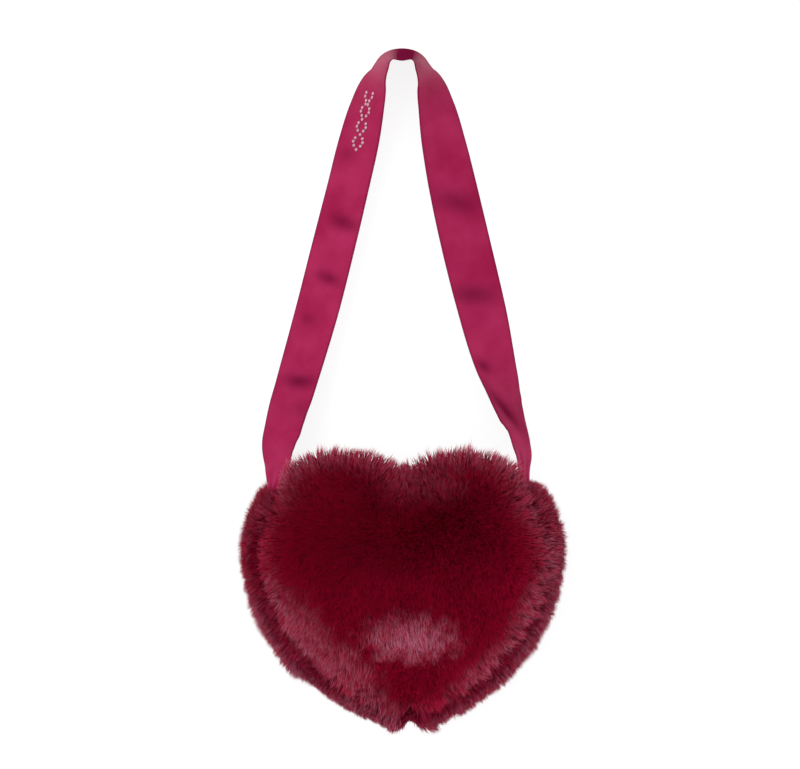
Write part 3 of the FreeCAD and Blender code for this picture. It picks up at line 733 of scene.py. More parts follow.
@dataclass
class FurCoat:
    """Fur grown on a skin: how dense, how wide and how tufted its strands are."""

    width: float = 0.65 * MM
    width_range: tuple[float, float] = (0.7, 1.2)
    taper: float = 0.55
    twist: float = 0.35
    rings: int = 3
    bend: float = 0.55
    tuft: float = 4 * MM
    tuft_edge: float = 0.22
    tuft_pull: float = 0.5
    tuft_lengths: float = 0.1
    floor_gap: float = 0.8 * MM
    map_margin: float = 0.02
    seed: int = 1

    def blade(self) -> tuple[np.ndarray, list[list[int]]]:
        """One strand as a narrow blade, drawn to a point.

        Returns:
            Its corners, as shares across and along, and the corners of each face.
        """
        form = bmesh.new()
        bmesh.ops.create_grid(form, x_segments=1, y_segments=self.rings, size=0.5)
        top = [v for v in form.verts if v.co.y > 0.5 - 1e-4]
        bmesh.ops.pointmerge(form, verts=top, merge_co=Vector((0, 0.5, 0)))
        form.verts.index_update()
        corners = np.array([(v.co.x, v.co.y + 0.5) for v in form.verts])
        faces = [[v.index for v in face.verts] for face in form.faces]
        form.free()
        return corners, faces

    def sample(self, skin: bpy.types.Mesh, density: float) -> tuple[np.ndarray, np.ndarray]:
        """Spreads roots evenly over a skin.

        Args:
            skin: Mesh that the fur grows on.
            density: Strands per square metre.

        Returns:
            Root points and the skin's normals there.
        """
        draw = np.random.default_rng(self.seed)
        skin.calc_loop_triangles()
        spots = points_of(skin)
        ways = np.empty(len(skin.vertices) * 3)
        skin.vertices.foreach_get("normal", ways)
        ways = ways.reshape(-1, 3)
        corners = np.empty(len(skin.loop_triangles) * 3, np.int32)
        skin.loop_triangles.foreach_get("vertices", corners)
        corners = corners.reshape(-1, 3)
        a, b, c = (spots[corners[:, n]] for n in range(3))
        areas = np.linalg.norm(np.cross(b - a, c - a), axis=1) / 2
        picked = draw.choice(len(areas), int(areas.sum() * density), p=areas / areas.sum())
        first, second = draw.random((2, len(picked)))
        over = first + second > 1
        first[over], second[over] = 1 - first[over], 1 - second[over]
        shares = np.stack([1 - first - second, first, second], 1)[:, :, None]
        roots = (spots[corners[picked]] * shares).sum(1)
        normals = unit((ways[corners[picked]] * shares).sum(1))
        return roots, normals

    def curves(self, strands: Strands) -> tuple[np.ndarray, np.ndarray]:
        """Bends each strand towards its comb, and draws neighbouring tips together into tufts.

        Args:
            strands: The strands.

        Returns:
            The middle and the tip of each strand.
        """
        draw = np.random.default_rng(self.seed + 1)
        count = len(strands.roots)
        drift = draw.normal(0, self.tuft_edge * self.tuft, (count, 3))
        cells = np.floor((strands.roots + drift) / self.tuft).astype(int)
        _, tufts = np.unique(cells, axis=0, return_inverse=True)
        tufts = tufts.reshape(-1)
        sway = draw.normal(0, 1, (tufts.max() + 1, 3))[tufts]
        stray = draw.normal(0, 1, (count, 3))
        ruffle = strands.ruffles[:, None]
        combs = strands.combs + (0.05 + 0.3 * ruffle) * sway + (0.05 + 0.16 * ruffle) * stray
        combs -= strands.normals * (combs * strands.normals).sum(1, keepdims=True)
        leans = strands.leans * (1 + 0.12 * draw.normal(size=count))
        leans += 0.05 * np.abs(draw.normal(size=count))
        lengths = strands.lengths * (1.04 - draw.random(count) * (0.1 + 0.28 * strands.ruffles))
        lengths *= 1 + self.tuft_lengths * strands.ruffles * np.clip(sway[:, 0], -1.5, 1.5)
        first, second = (
            strands.normals * np.cos(turn)[:, None] + combs * np.sin(turn)[:, None]
            for turn in (self.bend * leans, leans)
        )
        middles = strands.roots + first * (0.5 * lengths)[:, None]
        tips = middles + second * (0.5 * lengths)[:, None]
        weights = np.bincount(tufts)
        centres = np.stack([np.bincount(tufts, tips[:, n]) / weights for n in range(3)], 1)[tufts]
        pull = self.tuft_pull * (0.2 + 0.8 * ruffle) * draw.uniform(0.2, 1, count)[:, None]
        tips += (centres - tips) * pull
        middles += (centres - tips) * pull * 0.15
        for places in (middles, tips):
            places[:, 2] = np.maximum(places[:, 2], self.floor_gap)
        return middles, tips

    def grow(self, name: str, strands: Strands, finish: bpy.types.Material) -> bpy.types.Object:
        """Makes one piece of fur.

        Args:
            name: Name of the piece.
            strands: Its strands.
            finish: Its material.

        Returns:
            The piece.
        """
        draw = np.random.default_rng(self.seed + 2)
        corners, faces = self.blade()
        count = len(strands.roots)
        middles, tips = self.curves(strands)
        along = corners[:, 1][None, :, None]
        bows = 2 * middles - 0.5 * (strands.roots + tips)
        spine = (1 - along) ** 2 * strands.roots[:, None, :]
        spine = spine + 2 * along * (1 - along) * bows[:, None, :]
        spine = spine + along**2 * tips[:, None, :]
        lay = unit(tips - strands.roots)
        twists = self.twist * draw.normal(size=(count, 3))
        across = unit(np.cross(lay, strands.normals + twists))
        widths = self.width * draw.uniform(*self.width_range, count)
        taper = corners[:, 0] * (1 - self.taper * corners[:, 1])
        spots = spine + across[:, None, :] * (widths[:, None] * taper[None, :])[:, :, None]
        starts = (np.arange(count) * len(corners))[:, None]
        order = np.concatenate(faces)
        loops = (starts + order[None, :]).ravel()
        totals = np.tile([len(face) for face in faces], count)
        firsts = np.concatenate([[0], np.cumsum(totals)[:-1]])
        mesh = bpy.data.meshes.new(name)
        mesh.vertices.add(count * len(corners))
        mesh.vertices.foreach_set("co", spots.astype(np.float32).ravel())
        mesh.loops.add(len(loops))
        mesh.loops.foreach_set("vertex_index", loops.astype(np.int32))
        mesh.polygons.add(len(totals))
        mesh.polygons.foreach_set("loop_start", firsts.astype(np.int32))
        shade(mesh)
        chart = mesh.uv_layers.new(name=OWN_MAP)
        span = 1 - 2 * self.map_margin
        column = self.map_margin + span * strands.sheens[:, None] + 0.01 * corners[order, 0][None, :]
        row = self.map_margin + span * np.tile(corners[order, 1], (count, 1))
        chart.data.foreach_set("uv", np.stack([column, row], 2).astype(np.float32).ravel())
        mesh.update(calc_edges=True)
        mesh.validate()
        return add_piece(name, mesh, finish)


@dataclass(frozen=True)
class Brushed:
    """A patch of the front, in millimetres, where the pile is brushed flat or stands upright."""

    x: float
    y: float
    long: float
    short: float
    turn: float = 0.0
    depth: float = 1.0
    ragged: float = 1.0

    def weight(self, places: np.ndarray) -> np.ndarray:
        """How much each point belongs to the patch.

        Args:
            places: Points, of which the first two columns count.

        Returns:
            Weights from 0 to the patch's depth.
        """
        dx = places[:, 0] - self.x * MM
        dy = places[:, 1] - self.y * MM
        along, aside = along_and_aside(dx, dy, self.turn)
        blotch = 0.28 * wander(places[:, :2], 13 * MM, 31)
        streak = 0.14 * wander(places[:, :2] * np.array([1, 0.35]), 3 * MM, 37)
        edge = np.hypot(along / (self.long * MM), aside / (self.short * MM))
        edge += self.ragged * (blotch + streak)
        return self.depth * smooth_step(1.6, 0.4, edge)


@dataclass
class PlushHeart:
    """The stuffed heart: skins of its two panels and its gusset, and the fur on them."""

    back_low: float = 3.6 * MM
    back_top: float = 7 * MM
    gusset_top: float = 51 * MM
    front_crown: float = 56.5 * MM
    rim: float = 22 * MM
    edge_height: float = 0.3
    bulge: float = 3 * MM
    lap_lift: float = 0.3 * MM
    front_net: float = 3.4 * MM
    back_net: float = 4 * MM
    pressure: float = 4
    swell_frames: int = 20
    front_density: float = 5.0e6
    gusset_density: float = 3.0e6
    back_density: float = 1.6e6
    front_parts: int = 5
    pile: float = 15 * MM
    strap_end: tuple[float, float] = (89 * MM, 74 * MM)
    parting: float = 5 * MM
    whorl: float = 38 * MM
    whorl_width: float = 45 * MM
    # Leans in degrees: of level pile, of brushed pile, of the rim, and the least and loosest ones.
    level_fall: float = 15
    brushed_fall: float = 54
    rim_splay: float = 36
    least_lean: float = 16
    loose_lean: float = 15
    gusset_lean: float = 20
    back_lean: float = 76
    # The share of the gusset's height at which its pile stands straight out.
    ridge: float = 0.35
    # Patches where the pile is brushed flat; they also take painted sheen.
    brushed: tuple[Brushed, ...] = (
        Brushed(6, -25.5, 28, 14),
        Brushed(-70, -22, 38, 15, turn=-52, depth=0.5),
        Brushed(-40, -46, 28, 13, turn=-38, depth=0.48),
        Brushed(-20, -70, 20, 9, turn=-38, depth=0.42),
        Brushed(84, -6, 24, 6, turn=64, depth=0.32),
        Brushed(60, -44, 32, 7, turn=42, depth=0.38),
        Brushed(27, 74, 18, 11, depth=0.24),
    )
    upright: tuple[Brushed, ...] = (
        Brushed(42, 40, 30, 13, ragged=0.4),
        Brushed(12, -63, 25, 13, ragged=0.35),
        Brushed(60, 64, 18, 9, depth=0.5),
    )

    def remeshed(self, form: bmesh.types.BMesh, name: str, voxel: float) -> bpy.types.Mesh:
        """Rebuilds a slab as an even net of faces.

        Args:
            form: The slab.
            name: Name of the mesh.
            voxel: Size of the net's faces.

        Returns:
            The new mesh.
        """
        carrier = bpy.data.objects.new(name, mesh_from(form, name))
        bpy.context.scene.collection.objects.link(carrier)
        remesh = carrier.modifiers.new("net", "REMESH")
        remesh.mode = "VOXEL"
        remesh.voxel_size = voxel
        graph = bpy.context.evaluated_depsgraph_get()
        mesh = bpy.data.meshes.new_from_object(carrier.evaluated_get(graph))
        mesh.name = name
        bpy.data.objects.remove(carrier)
        return mesh

    def puffed(self, mesh: bpy.types.Mesh, seam: tuple[float, float], cap: float) -> bpy.types.Mesh:
        """Lets the filling swell a skin as cloth, held along its seam.

        Args:
            mesh: The skin.
            seam: Heights between which the skin is sewn down.
            cap: The most that a point may move.

        Returns:
            The swollen skin.
        """
        scene = bpy.context.scene
        carrier = bpy.data.objects.new("swelling", mesh.copy())
        scene.collection.objects.link(carrier)
        spots = points_of(mesh)
        sewn = np.flatnonzero((spots[:, 2] >= seam[0]) & (spots[:, 2] <= seam[1]))
        carrier.vertex_groups.new(name="seam").add(sewn.tolist(), 1.0, "REPLACE")
        cloth = carrier.modifiers.new("filling", "CLOTH")
        cloth.settings.use_pressure = True
        cloth.settings.uniform_pressure_force = self.pressure
        cloth.settings.vertex_group_mass = "seam"
        cloth.settings.effector_weights.gravity = 0
        last = self.swell_frames
        cloth.point_cache.frame_end = last
        for number in range(1, last + 1):
            scene.frame_set(number)
        graph = bpy.context.evaluated_depsgraph_get()
        moves = points_of(carrier.evaluated_get(graph).data) - spots
        far = np.maximum(np.linalg.norm(moves, axis=1, keepdims=True), 1e-9)
        moves *= np.minimum(1, cap / far)
        LOG.info("%s: swells by up to %.1f mm", mesh.name, np.linalg.norm(moves, axis=1).max() / MM)
        bpy.data.objects.remove(carrier)
        scene.frame_set(1)
        move_points(mesh, spots + moves)
        return mesh

    def front_inset(self, places: np.ndarray) -> np.ndarray:
        """How far the front's skin stays inside the seam: wide on the flanks, none on the lobes.

        Args:
            places: Points, of which the first two columns count.

        Returns:
            One distance for each point, below 0 outside the seam.
        """
        x, y = places[:, 0], places[:, 1]
        over = smooth_step(56 * MM, 84 * MM, y) * smooth_step(100 * MM, 80 * MM, np.abs(x))
        dip = bell(y, -48 * MM, 28 * MM) * smooth_step(-4 * MM, -30 * MM, x)
        lobe = 14.2 * MM + 1 * MM * smooth_step(10 * MM, 44 * MM, np.abs(x - 2.5 * MM))
        right = smooth_step(-52 * MM, -4 * MM, y) * smooth_step(60 * MM, 10 * MM, y)
        flank = 1.5 * MM + 5 * MM * smooth_step(0, 30 * MM, x) * right
        out = -3 * MM * dip + flank * (1 - over)
        return 12 * MM - lobe * over - out

    def front_skin(self) -> bpy.types.Mesh:
        """The front panel's skin: a crowned pad that rounds down to its seam.

        Returns:
            The skin.
        """
        base = self.gusset_top
        form = HEART.slab(HEART.ring(self.front_inset), base, self.front_crown)
        mesh = self.remeshed(form, "front_skin", self.front_net)
        spots = points_of(mesh)
        depths, _ = HEART.nearest(spots)
        share = (spots[:, 2] - base) / (self.front_crown - base)
        edge = np.clip((depths - self.front_inset(spots)) / self.rim, 0, 1)
        round_up = np.sqrt(1 - (1 - edge) ** 2)
        height = self.edge_height + (1 - self.edge_height) * round_up
        spots[:, 2] = base + share * (self.front_crown - base) * height
        move_points(mesh, spots)
        mesh = self.puffed(mesh, (0, base + 1 * MM), 3 * MM)
        shade(mesh)
        return mesh

    def back_skin(self) -> bpy.types.Mesh:
        """The back panel's skin: a thin pad on which the purse lies.

        Returns:
            The skin.
        """
        form = HEART.slab(HEART.ring(2 * MM), self.back_low, self.back_top)
        mesh = self.remeshed(form, "back_skin", self.back_net)
        mesh = self.puffed(mesh, (self.back_top - 1 * MM, self.back_top + 1 * MM), 1.5 * MM)
        shade(mesh)
        return mesh

    def gusset_net(self, side: int) -> np.ndarray:
        """One half of the gusset: a bulging strip from the tip to the mouth, with its seam lap.

        Args:
            side: 1 for the right half, -1 for the left.

        Returns:
            The strip's net of points.
        """
        half = len(HEART.line) // 2
        kept = np.flatnonzero(HEART.mouth(later=4)[:half] < 0.5)
        line, normals = HEART.line[kept], HEART.normals[kept]
        depth = self.gusset_top - self.back_top
        rows = [
            (self.bulge * math.sin(math.pi * rise) - self.bulge / 2, self.back_top + rise * depth)
            for rise in np.linspace(0, 1, 9)
        ]
        rows += [(-out, self.gusset_top + self.lap_lift) for out in (8 * MM, 17 * MM)]
        net = np.array(
            [np.column_stack([line + normals * out, np.full(len(line), z)]) for out, z in rows]
        )
        return net if side > 0 else net[:, ::-1] * np.array([-1, 1, 1])

    def by_strap(self, places: np.ndarray) -> np.ndarray:
        """How near each point lies to an end of the strap, where the ribbon parts the pile."""
        x, y = self.strap_end
        return bell(np.hypot(np.abs(places[:, 0]) - x, places[:, 1] - y), 0, 8 * MM)

    def reach(self, places: np.ndarray) -> np.ndarray:
        """How long the rim's pile is: fuller on the flanks, worn left of the tip, notched there.

        Args:
            places: Points of the rim.

        Returns:
            A share of the pile's length for each point.
        """
        x, y = places[:, 0], places[:, 1]
        flank = smooth_step(30 * MM, -15 * MM, y) * smooth_step(-88 * MM, -60 * MM, y)
        worn = smooth_step(-42 * MM, -70 * MM, y) * smooth_step(4 * MM, -12 * MM, x)
        thin = worn * bell(y, -58 * MM, 9 * MM)
        low = y < -70 * MM
        tuft = (bell(x, 11 * MM, 8 * MM) + 0.5 * bell(x, -4 * MM, 5 * MM)) * low
        notch = bell(x, self.parting, 4.4 * MM) * low
        right = smooth_step(-55 * MM, -25 * MM, y) * (x > 0)
        longer = 0.14 * flank + 0.1 * right + 0.3 * tuft
        return 1 + longer - 0.32 * worn - 0.25 * thin - 0.9 * notch - 0.55 * self.by_strap(places)

    def front_strands(self, coat: FurCoat, skin: bpy.types.Mesh) -> Strands:
        """Combs the front's pile: round a whorl above, flat in patches below, outwards at the rim.

        Args:
            coat: The fur's own sizes.
            skin: The front skin.

        Returns:
            The strands.
        """
        roots, normals = coat.sample(skin, self.front_density)
        kept = normals[:, 2] > -0.25
        roots, normals = roots[kept], normals[kept]
        x, y = roots[:, 0], roots[:, 1]
        depths, ways = HEART.nearest(roots)
        draw = np.random.default_rng(coat.seed + 5)
        # How much each strand belongs to a patch, the crests, the valley, the worn edge or the rim.
        brushed_and_sheen = np.max([patch.weight(roots) for patch in self.brushed], axis=0)
        upright = np.max([patch.weight(roots) for patch in self.upright], axis=0)
        top = smooth_step(50 * MM, 80 * MM, y)
        valley = smooth_step(36 * MM, 58 * MM, y) * bell(x, 2 * MM, 26 * MM)
        worn = smooth_step(-35 * MM, -60 * MM, y) * smooth_step(20 * MM, -10 * MM, x)
        edge = depths - self.front_inset(roots) + 2.5 * MM * draw.normal(size=len(roots))
        rim = np.clip(1 - edge / self.rim, 0, 1) ** 1.3
        crest = top * smooth_step(0.3, 1, rim)
        slow = wander(roots[:, :2], 38 * MM, 11)
        # Lean: towards the tip, outwards at the rim, and round the whorl where it would stand up.
        level = smooth_step(54 * MM, -14 * MM, y) * (1 - rim) * (1 - 0.7 * upright)
        fall = (self.level_fall + 5 * slow) * level + self.brushed_fall * brushed_and_sheen**2 * (1 - top)
        splay = self.rim_splay * rim * (1 - 0.5 * brushed_and_sheen) * (1 - 0.75 * upright * (1 - rim))
        splay *= (1 - 0.2 * valley) * (1 - 0.55 * worn)
        lean = TO_TIP * np.radians(fall)[:, None] + in_space(ways) * np.radians(splay)[:, None]
        least = np.radians((self.least_lean + 4 * top) * (1 - 0.6 * upright))
        short = np.maximum(0, least - np.linalg.norm(lean, axis=1))
        sideways = np.clip((x - self.whorl) / self.whorl_width, -1, 1)
        rise = 0.85 * smooth_step(10 * MM, 64 * MM, y) - 0.25 + 3 * brushed_and_sheen * top
        lean += np.stack([sideways, rise, 0 * sideways], 1) * short[:, None]
        loose = np.maximum(0, np.radians(self.loose_lean) - np.linalg.norm(lean, axis=1))
        loose *= 1 - 0.4 * upright
        lean[:, :2] += draw.normal(size=(len(roots), 2)) * loose[:, None]
        leans = np.linalg.norm(lean, axis=1)
        combs = lean / np.maximum(leans, 1e-6)[:, None]
        # Length: longer on the crests, parted at the strap's ends and at the tip.
        lengths = self.pile * (1 + 0.05 * slow + 0.12 * crest - 0.1 * rim * (1 - top))
        tip = bell(x, self.parting, 5 * MM) * smooth_step(-62 * MM, -78 * MM, y)
        lengths *= 1 - 0.55 * self.by_strap(roots) - 0.75 * tip
        # Painted sheen: light and dark streaks, in the brushed patches, and as painted highlight at
        # the rim, the crests and the lower right side, less in upright patches.
        streak = wander(roots[:, :2] * np.array([1, 0.4]), 3.2 * MM, 43)
        light = draw.random(len(roots)) < 0.5 + 0.6 * streak
        side = smooth_step(0, 60 * MM, x) * smooth_step(-45 * MM, -10 * MM, y) * (1 - top)
        painted_highlight = 0.14 * rim**2 + 0.24 * crest * (1 - 0.6 * valley) + 0.14 * side * rim**2
        painted_highlight = painted_highlight * (1 - 0.6 * upright) * (1 - 0.2 * worn)
        sheens = brushed_and_sheen * np.where(light, 0.9, 0.14) + painted_highlight * np.where(light, 1.7, 0.4)
        sheens += 0.05 * rim * draw.normal(size=len(roots))
        ruffles = np.clip(0.05 + 0.85 * rim**2 + 0.7 * brushed_and_sheen, 0, 1)
        return Strands(roots, normals, combs, leans, lengths, np.clip(sheens, 0, 1), ruffles)

    def gusset_strands(self, coat: FurCoat, skin: bpy.types.Mesh) -> Strands:
        """Combs the gusset's pile outwards, up its front edge and over its ends, parted at the tip.

        Args:
            coat: The fur's own sizes.
            skin: One half of the gusset.

        Returns:
            The strands.
        """
        roots, normals = coat.sample(skin, self.gusset_density)
        depths, ways = HEART.nearest(roots)
        lap = normals[:, 2] > 0.6
        kept = ~lap | (depths < 9 * MM)
        roots, normals, ways, lap = roots[kept], normals[kept], ways[kept], lap[kept]
        x, y = roots[:, 0], roots[:, 1]
        right = x > 0
        # How much each strand belongs to the parting, to an end of the gusset or to the crevice.
        near_tip = smooth_step(20 * MM, 2 * MM, np.abs(x - self.parting)) * (y < 0)
        angle = np.arctan2(y - HEART.lobe_rise, np.abs(x) - HEART.lobe_offset)
        end = smooth_step(math.radians(8), math.radians(HEART.mouth_angle), angle)
        end = end * (y > HEART.lobe_rise)
        left_gap = smooth_step(54 * MM, 36 * MM, y) * smooth_step(-80 * MM, -62 * MM, y)
        crevice = lap * np.where(right, smooth_step(16 * MM, -4 * MM, y), left_gap)
        slow = wander(roots[:, :2], 30 * MM, 17)
        # Lean.
        height = (roots[:, 2] - self.back_top) / (self.gusset_top - self.back_top) - self.ridge
        aside = 0.4 * np.sign(x - self.parting) * near_tip - 0.5 * np.sign(x) * end
        combs = np.column_stack([aside, 0.9 * end - 0.25 * (1 - end), height])
        combs[lap, :2] = ways[lap]
        leans = self.gusset_lean + 6 * slow + 14 * np.abs(height)
        leans = leans + 10 * near_tip + 6 * end - 8 * lap
        # Length, and painted sheen, greater on the right and on the lower left, and less in the
        # crevice as painted shade.
        full = (0.12 + 0.08 * right) * end
        lengths = self.pile * (1.0 + 0.06 * slow + full) * self.reach(roots)
        lengths *= 1 - 0.1 * lap - 0.35 * crevice
        draw = np.random.default_rng(coat.seed + 5)
        light = draw.random(len(roots)) < 0.5 + 0.5 * wander(roots, 4 * MM, 47)
        left_sheen = 0.13 + 0.22 * smooth_step(30 * MM, -20 * MM, y)
        sheens = np.where(right, 0.26 + 0.1 * bell(y, 0, 26 * MM), left_sheen) + 0.05 * slow
        sheens = np.clip(sheens * np.where(light, 1.6, 0.4) * (1 - 0.7 * crevice), 0, 1)
        ruffles = np.full(len(roots), 0.8)
        return Strands(roots, normals, unit(combs), np.radians(leans), lengths, sheens, ruffles)

    def back_strands(self, coat: FurCoat, skin: bpy.types.Mesh) -> Strands:
        """Combs the back's pile flat, as the purse's weight presses it.

        Args:
            coat: The fur's own sizes.
            skin: The back skin.

        Returns:
            The strands.
        """
        roots, normals = coat.sample(skin, self.back_density)
        kept = normals[:, 2] < 0.2
        roots, normals = roots[kept], normals[kept]
        depths, ways = HEART.nearest(roots)
        rim = smooth_step(20 * MM, 4 * MM, depths)[:, None]
        combs = unit(TO_TIP * (1 - rim) + in_space(ways) * rim)
        slow = wander(roots[:, :2], 30 * MM, 23)
        leans = np.radians(self.back_lean + 4 * slow)
        draw = np.random.default_rng(coat.seed + 5)
        sheens = np.clip(0.08 + 0.05 * slow + 0.06 * draw.normal(size=len(roots)), 0, 1)
        lengths = 0.8 * self.pile * self.reach(roots)
        ruffles = np.full(len(roots), 0.7)
        return Strands(roots, normals, combs, leans, lengths, sheens, ruffles)

    def build(self) -> None:
        """Builds the skins and the fur, and sets them on the bag."""
        backing = BACKING.material()
        pile, side_pile = FUR.material(), SHADED_SIDE_FUR.material()
        front = add_piece("front_skin", self.front_skin(), backing)
        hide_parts("front_fur_panel")
        back = add_piece("back_skin", self.back_skin(), backing)
        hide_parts("back_fur_panel")
        pieces = [front, back]
        coat = FurCoat(seed=7)
        strands = self.front_strands(coat, front.data)
        order = np.argsort(strands.roots[:, 1], kind="stable")
        for number, chosen in enumerate(np.array_split(order, self.front_parts), 1):
            piece = coat.grow(f"front_fur_{number}", strands.picked(chosen), pile)
            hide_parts("front_fur_panel")
            pieces.append(piece)
        for side, label in ((-1, "left"), (1, "right")):
            net = self.gusset_net(side)
            skin = add_cloth(f"gusset_skin_{label}", net, backing)
            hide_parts(f"gusset_{label}")
            coat = FurCoat(seed=20 + side)
            strands = self.gusset_strands(coat, skin.data)
            fur = coat.grow(f"gusset_fur_{label}", strands, side_pile)
            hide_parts(f"gusset_{label}")
            pieces += [skin, fur]
        coat = FurCoat(seed=41, rings=2, width=1.1 * MM)
        fur = coat.grow("back_fur", self.back_strands(coat, back.data), pile)
        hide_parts("back_fur_panel")
        pieces.append(fur)
        for piece in pieces:
            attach(piece, Body.BAG.value)


@dataclass
class Inside:
    """The layers inside: two waddings, and a lining that turns over their edges at the mouth."""

    inset: float = 2.3 * MM
    gusset_slack: float = 0.7 * MM
    panel_sag: float = 0.4 * MM
    pad_round: float = 1 * MM
    middle: tuple[float, float] = (0.0, 20 * MM)
    turn_out: float = 1.1 * MM
    thickness: float = 0.5 * MM
    panels: tuple[tuple[str, str, float], ...] = (
        ("lining_front", "front_wadding", 51 * MM),
        ("lining_back", "back_wadding", 7 * MM),
    )

    def panel_net(self, node: str, turned: float) -> np.ndarray:
        """One panel's lining: rings from its middle to its edge, then over the wadding's edge.

        Args:
            node: Lining that it stands for.
            turned: Height that the turned edge reaches.

        Returns:
            Its net of points.
        """
        low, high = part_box(node)
        level = (low[2] + high[2]) / 2
        closed = np.append(np.arange(len(HEART.line)), 0)
        edge = HEART.ring(self.inset)[closed]
        ways = HEART.normals[closed]
        mouth = HEART.mouth()[closed]
        rows = []
        for share in np.linspace(0, 1, 13):
            flat = self.middle + share * (edge - self.middle)
            sag = self.panel_sag * wander(flat, 34 * MM, 51) * (1 - share**4)
            rows.append(np.column_stack([flat, level + sag]))
        for share in np.linspace(0.2, 1, 5):
            flat = edge + ways * (self.turn_out * share * mouth)[:, None]
            rows.append(np.column_stack([flat, level + (turned - level) * share * mouth]))
        return np.array(rows)

    def gusset_net(self) -> np.ndarray:
        """The gusset's lining: a strip from one end of the mouth to the other, a little slack.

        Returns:
            Its net of points.
        """
        low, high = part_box("lining_gusset")
        kept = np.flatnonzero(HEART.mouth() < 0.5)
        right = kept[kept < len(HEART.line) // 2]
        order = np.concatenate([kept[len(right) :], right])
        line = HEART.ring(self.inset + 0.6 * MM)[order]
        rows = []
        for share in np.linspace(0, 1, 9):
            height = low[2] + share * (high[2] - low[2])
            places = np.column_stack([line, np.full(len(line), 3 * height)])
            slack = self.gusset_slack * (1 + wander(places, 40 * MM, 53))
            slack *= math.sin(math.pi * share)
            flat = line - HEART.normals[order] * slack[:, None]
            rows.append(np.column_stack([flat, np.full(len(line), height)]))
        return np.array(rows)

    def wadding(self, node: str) -> bpy.types.Mesh:
        """A wadding: a thin pad with soft edges.

        Args:
            node: Wadding that it stands for.

        Returns:
            The pad.
        """
        low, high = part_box(node)
        form = HEART.slab(HEART.ring(self.inset + 0.4 * MM), low[2], high[2])
        rims = [
            edge
            for edge in form.edges
            if abs(edge.verts[0].co.z - edge.verts[1].co.z) < 0.01 * MM
        ]
        bmesh.ops.bevel(
            form,
            geom=rims,
            offset=self.pad_round,
            segments=3,
            profile=0.5,
            affect="EDGES",
            material=-1,
        )
        return mesh_from(form, f"{node}_pad")

    def build(self) -> None:
        """Builds the layers and sets them on the bag."""
        lining, wadding = LINING.material(), WADDING.material()
        for node, pad_node, turned in self.panels:
            net = self.panel_net(node, turned)
            sheet = add_cloth(f"{node}_cloth", net, lining)
            pad = add_piece(f"{pad_node}_pad", self.wadding(pad_node), wadding)
            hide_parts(pad_node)
            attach(pad, Body.BAG.value)
            sew_in(sheet, node, self.thickness)
        net = self.gusset_net()
        sheet = add_cloth("lining_gusset_cloth", net, lining)
        sew_in(sheet, "lining_gusset", self.thickness)


